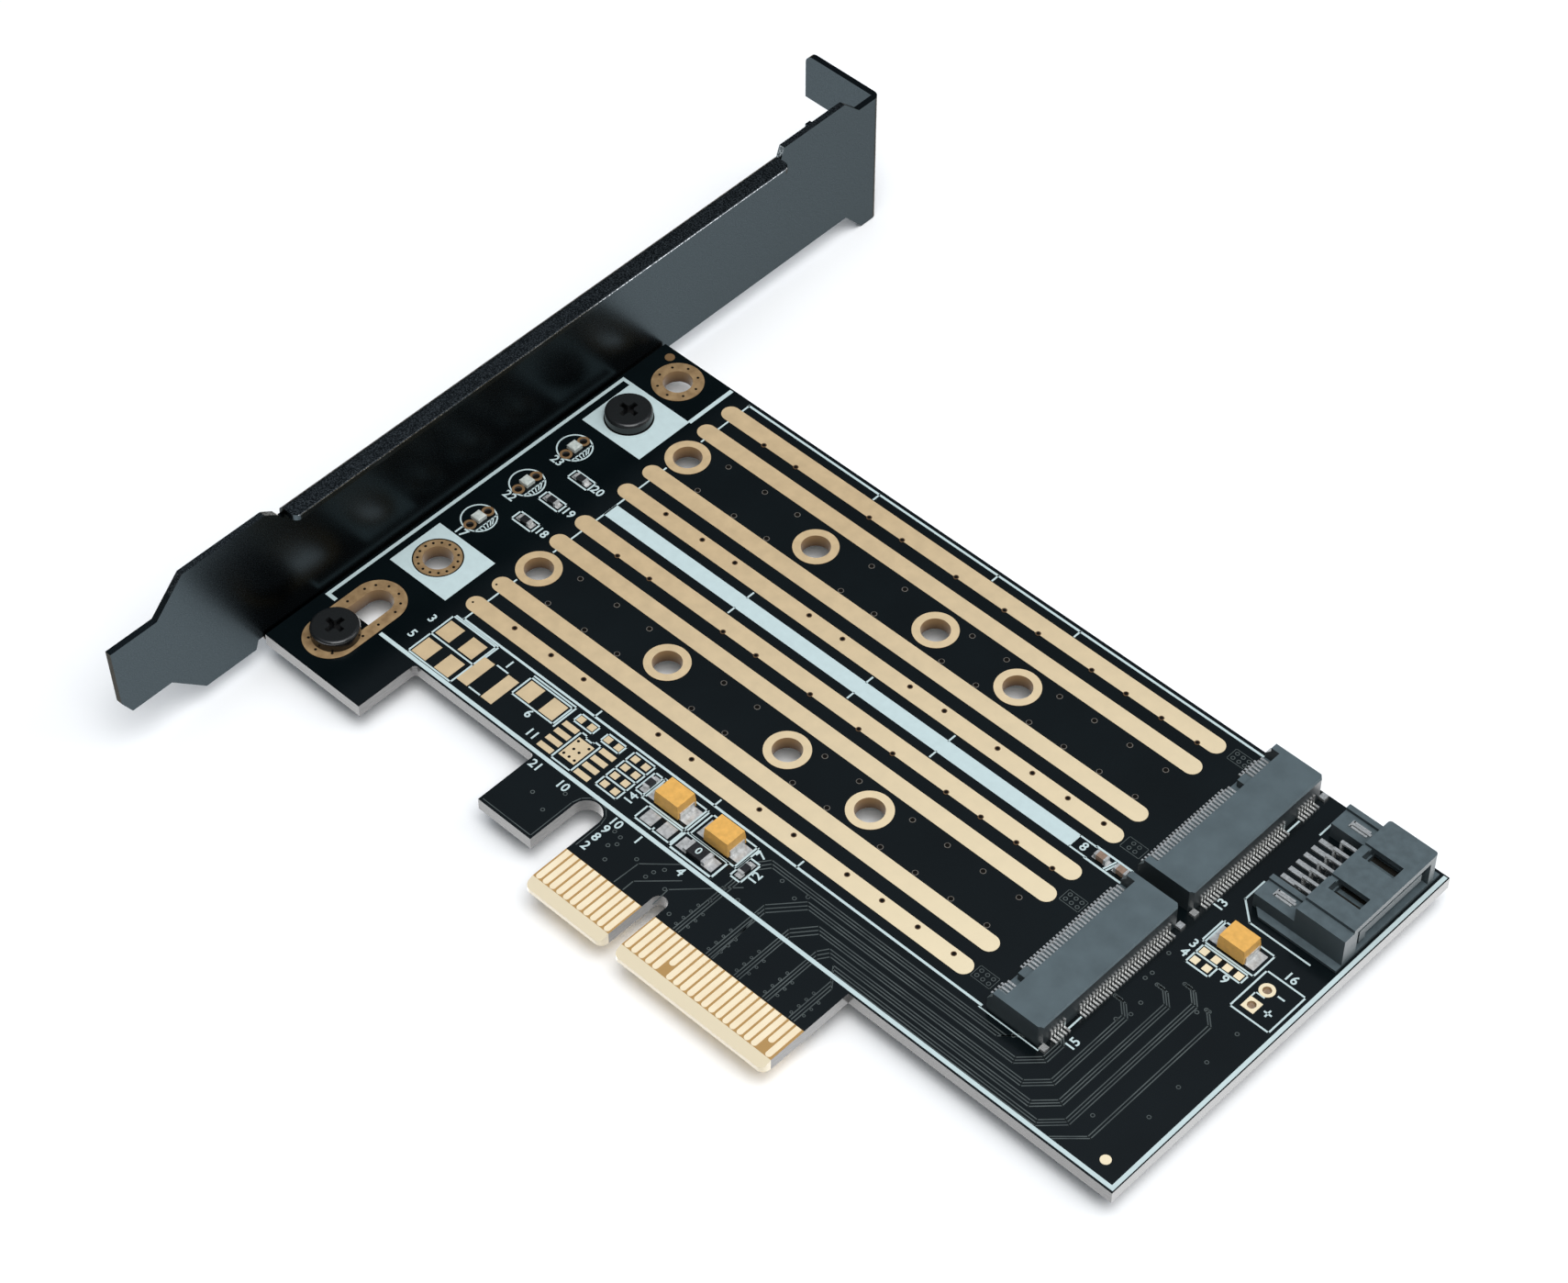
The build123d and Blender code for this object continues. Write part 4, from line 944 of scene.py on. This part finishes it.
class Stage(bpy.types.Operator):
    """Pale floor, soft light and the photograph's camera"""
    bl_idname = "adapter_card.stage"
    bl_label = "Stage"

    def execute(self, context):
        scene = context.scene
        low, high = CAD_BOX
        bpy.ops.object.select_all(action="DESELECT")
        bpy.ops.mesh.primitive_plane_add(size=8, location=(0, 0, low.z - 0.0001))
        floor = context.object
        floor.name = "floor"
        pale = bpy.data.materials.new("pale_floor")
        pale.use_nodes = True
        shader = shader_of(pale)
        shader.inputs["Base Color"].default_value = (0.97, 0.97, 0.97, 1)
        shader.inputs["Roughness"].default_value = 0.9
        set_specular(pale, 0.1)
        # The lit studio floor is brighter in the card's reflections than the picture's white
        rays = pale.node_tree.nodes.new("ShaderNodeLightPath")
        glow = maths(pale, "MULTIPLY", rays.outputs["Is Glossy Ray"], FLOOR_GLOW)
        join_nodes(pale, glow, shader.inputs["Emission Strength"])
        shader.inputs["Emission Color"].default_value = (1, 1, 1, 1)
        floor.data.materials.append(pale)

        world = bpy.data.worlds.new("studio")
        scene.world = world
        world.use_nodes = True
        nodes, links = world.node_tree.nodes, world.node_tree.links
        sky = nodes["Background"]
        way = nodes.new("ShaderNodeTexCoord")
        part = nodes.new("ShaderNodeSeparateXYZ")
        rise = nodes.new("ShaderNodeValToRGB")
        # The card mirrors the sky between 0.7 and 0.8, where it grows lighter towards the near corner
        stops = ((0.0, (0.40, 0.42, 0.44, 1)), (0.5, (0.10, 0.115, 0.125, 1)), (0.72, (0.09, 0.105, 0.12, 1)),
                 (0.86, (0.50, 0.56, 0.64, 1)), (1.0, (0.70, 0.75, 0.80, 1)))
        for i, (place, colour) in enumerate(stops):
            mark = rise.color_ramp.elements[i] if i < 2 else rise.color_ramp.elements.new(place)
            mark.position, mark.color = place, colour
        links.new(way.outputs["Generated"], part.inputs["Vector"])
        links.new(part.outputs["Z"], rise.inputs["Fac"])
        links.new(rise.outputs["Color"], sky.inputs["Color"])
        sky.inputs["Strength"].default_value = 1.0

        self.lamp("key_light", (0.62, -0.35, 1.5), 1.1, 17.0)
        self.lamp("fill_light", (1.0, 0.9, 1.2), 1.0, 6.0)
        self.sun("soft_top", (0.1, 0.0, 1.0), 0.70)

        data = bpy.data.cameras.new("photo_camera")
        camera = bpy.data.objects.new("photo_camera", data)
        scene.collection.objects.link(camera)
        camera.location = Vector(CAMERA_PLACE) * MM
        camera.rotation_euler = [math.radians(turn) for turn in CAMERA_TURN]
        data.lens, data.sensor_width = CAMERA_LENS, SENSOR_WIDTH
        data.clip_start, data.clip_end = 0.01, 20
        scene.camera = camera
        scene.view_settings.view_transform = "Standard"
        return {"FINISHED"}

    def lamp(self, name, place, size, power):
        """A square soft lamp aimed at the card."""
        data = bpy.data.lights.new(name, "AREA")
        data.energy, data.size = power, size
        lamp = bpy.data.objects.new(name, data)
        lamp.location = place
        aim = Vector(LAMP_AIM) - Vector(place)
        lamp.rotation_euler = aim.to_track_quat("-Z", "Y").to_euler()
        bpy.context.scene.collection.objects.link(lamp)

    def sun(self, name, way, strength):
        """A very soft sun that lights the floor evenly."""
        data = bpy.data.lights.new(name, "SUN")
        data.energy, data.angle = strength, math.radians(44)
        lamp = bpy.data.objects.new(name, data)
        lamp.rotation_euler = (-Vector(way)).to_track_quat("-Z", "Y").to_euler()
        bpy.context.scene.collection.objects.link(lamp)


OPERATORS = (BoardFinish, BracketFinish, ConnectorFinish, SocketContacts, HeaderHoldDowns, SmallPartFinish,
             BayPrint, PartPrint, LampPrint, PrintedNumbers, Vias, Tracks, Stage)


class AdapterCardPanel(bpy.types.Panel):
    """Lists the card's settings and its steps"""
    bl_idname = "VIEW3D_PT_adapter_card"
    bl_label = "Adapter Card"
    bl_space_type = "VIEW_3D"
    bl_region_type = "UI"
    bl_category = "Adapter Card"

    def draw(self, context):
        for settings in (context.scene.adapter_card_sizes, context.scene.adapter_card_colours):
            for name in settings.bl_rna.properties.keys():
                if name not in {"rna_type", "name"}:
                    self.layout.prop(settings, name)
        for operator in OPERATORS:
            self.layout.operator(operator.bl_idname)


CLASSES = (AdapterCardSizes, AdapterCardColours, *OPERATORS, AdapterCardPanel)


def register():
    for cls in CLASSES:
        bpy.utils.register_class(cls)
    bpy.types.Scene.adapter_card_sizes = PointerProperty(type=AdapterCardSizes)
    bpy.types.Scene.adapter_card_colours = PointerProperty(type=AdapterCardColours)


def unregister():
    del bpy.types.Scene.adapter_card_colours
    del bpy.types.Scene.adapter_card_sizes
    for cls in reversed(CLASSES):
        bpy.utils.unregister_class(cls)


def main():
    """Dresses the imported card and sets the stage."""
    register()
    bpy.ops.adapter_card.board_finish()
    bpy.ops.adapter_card.bracket_finish()
    bpy.ops.adapter_card.connector_finish()
    bpy.ops.adapter_card.socket_contacts()
    bpy.ops.adapter_card.header_hold_downs()
    bpy.ops.adapter_card.small_part_finish()
    bpy.ops.adapter_card.bay_print()
    bpy.ops.adapter_card.part_print()
    bpy.ops.adapter_card.lamp_print()
    bpy.ops.adapter_card.printed_numbers()
    bpy.ops.adapter_card.vias()
    bpy.ops.adapter_card.tracks()
    bpy.ops.adapter_card.stage()


if __name__ == "__main__":
    main()
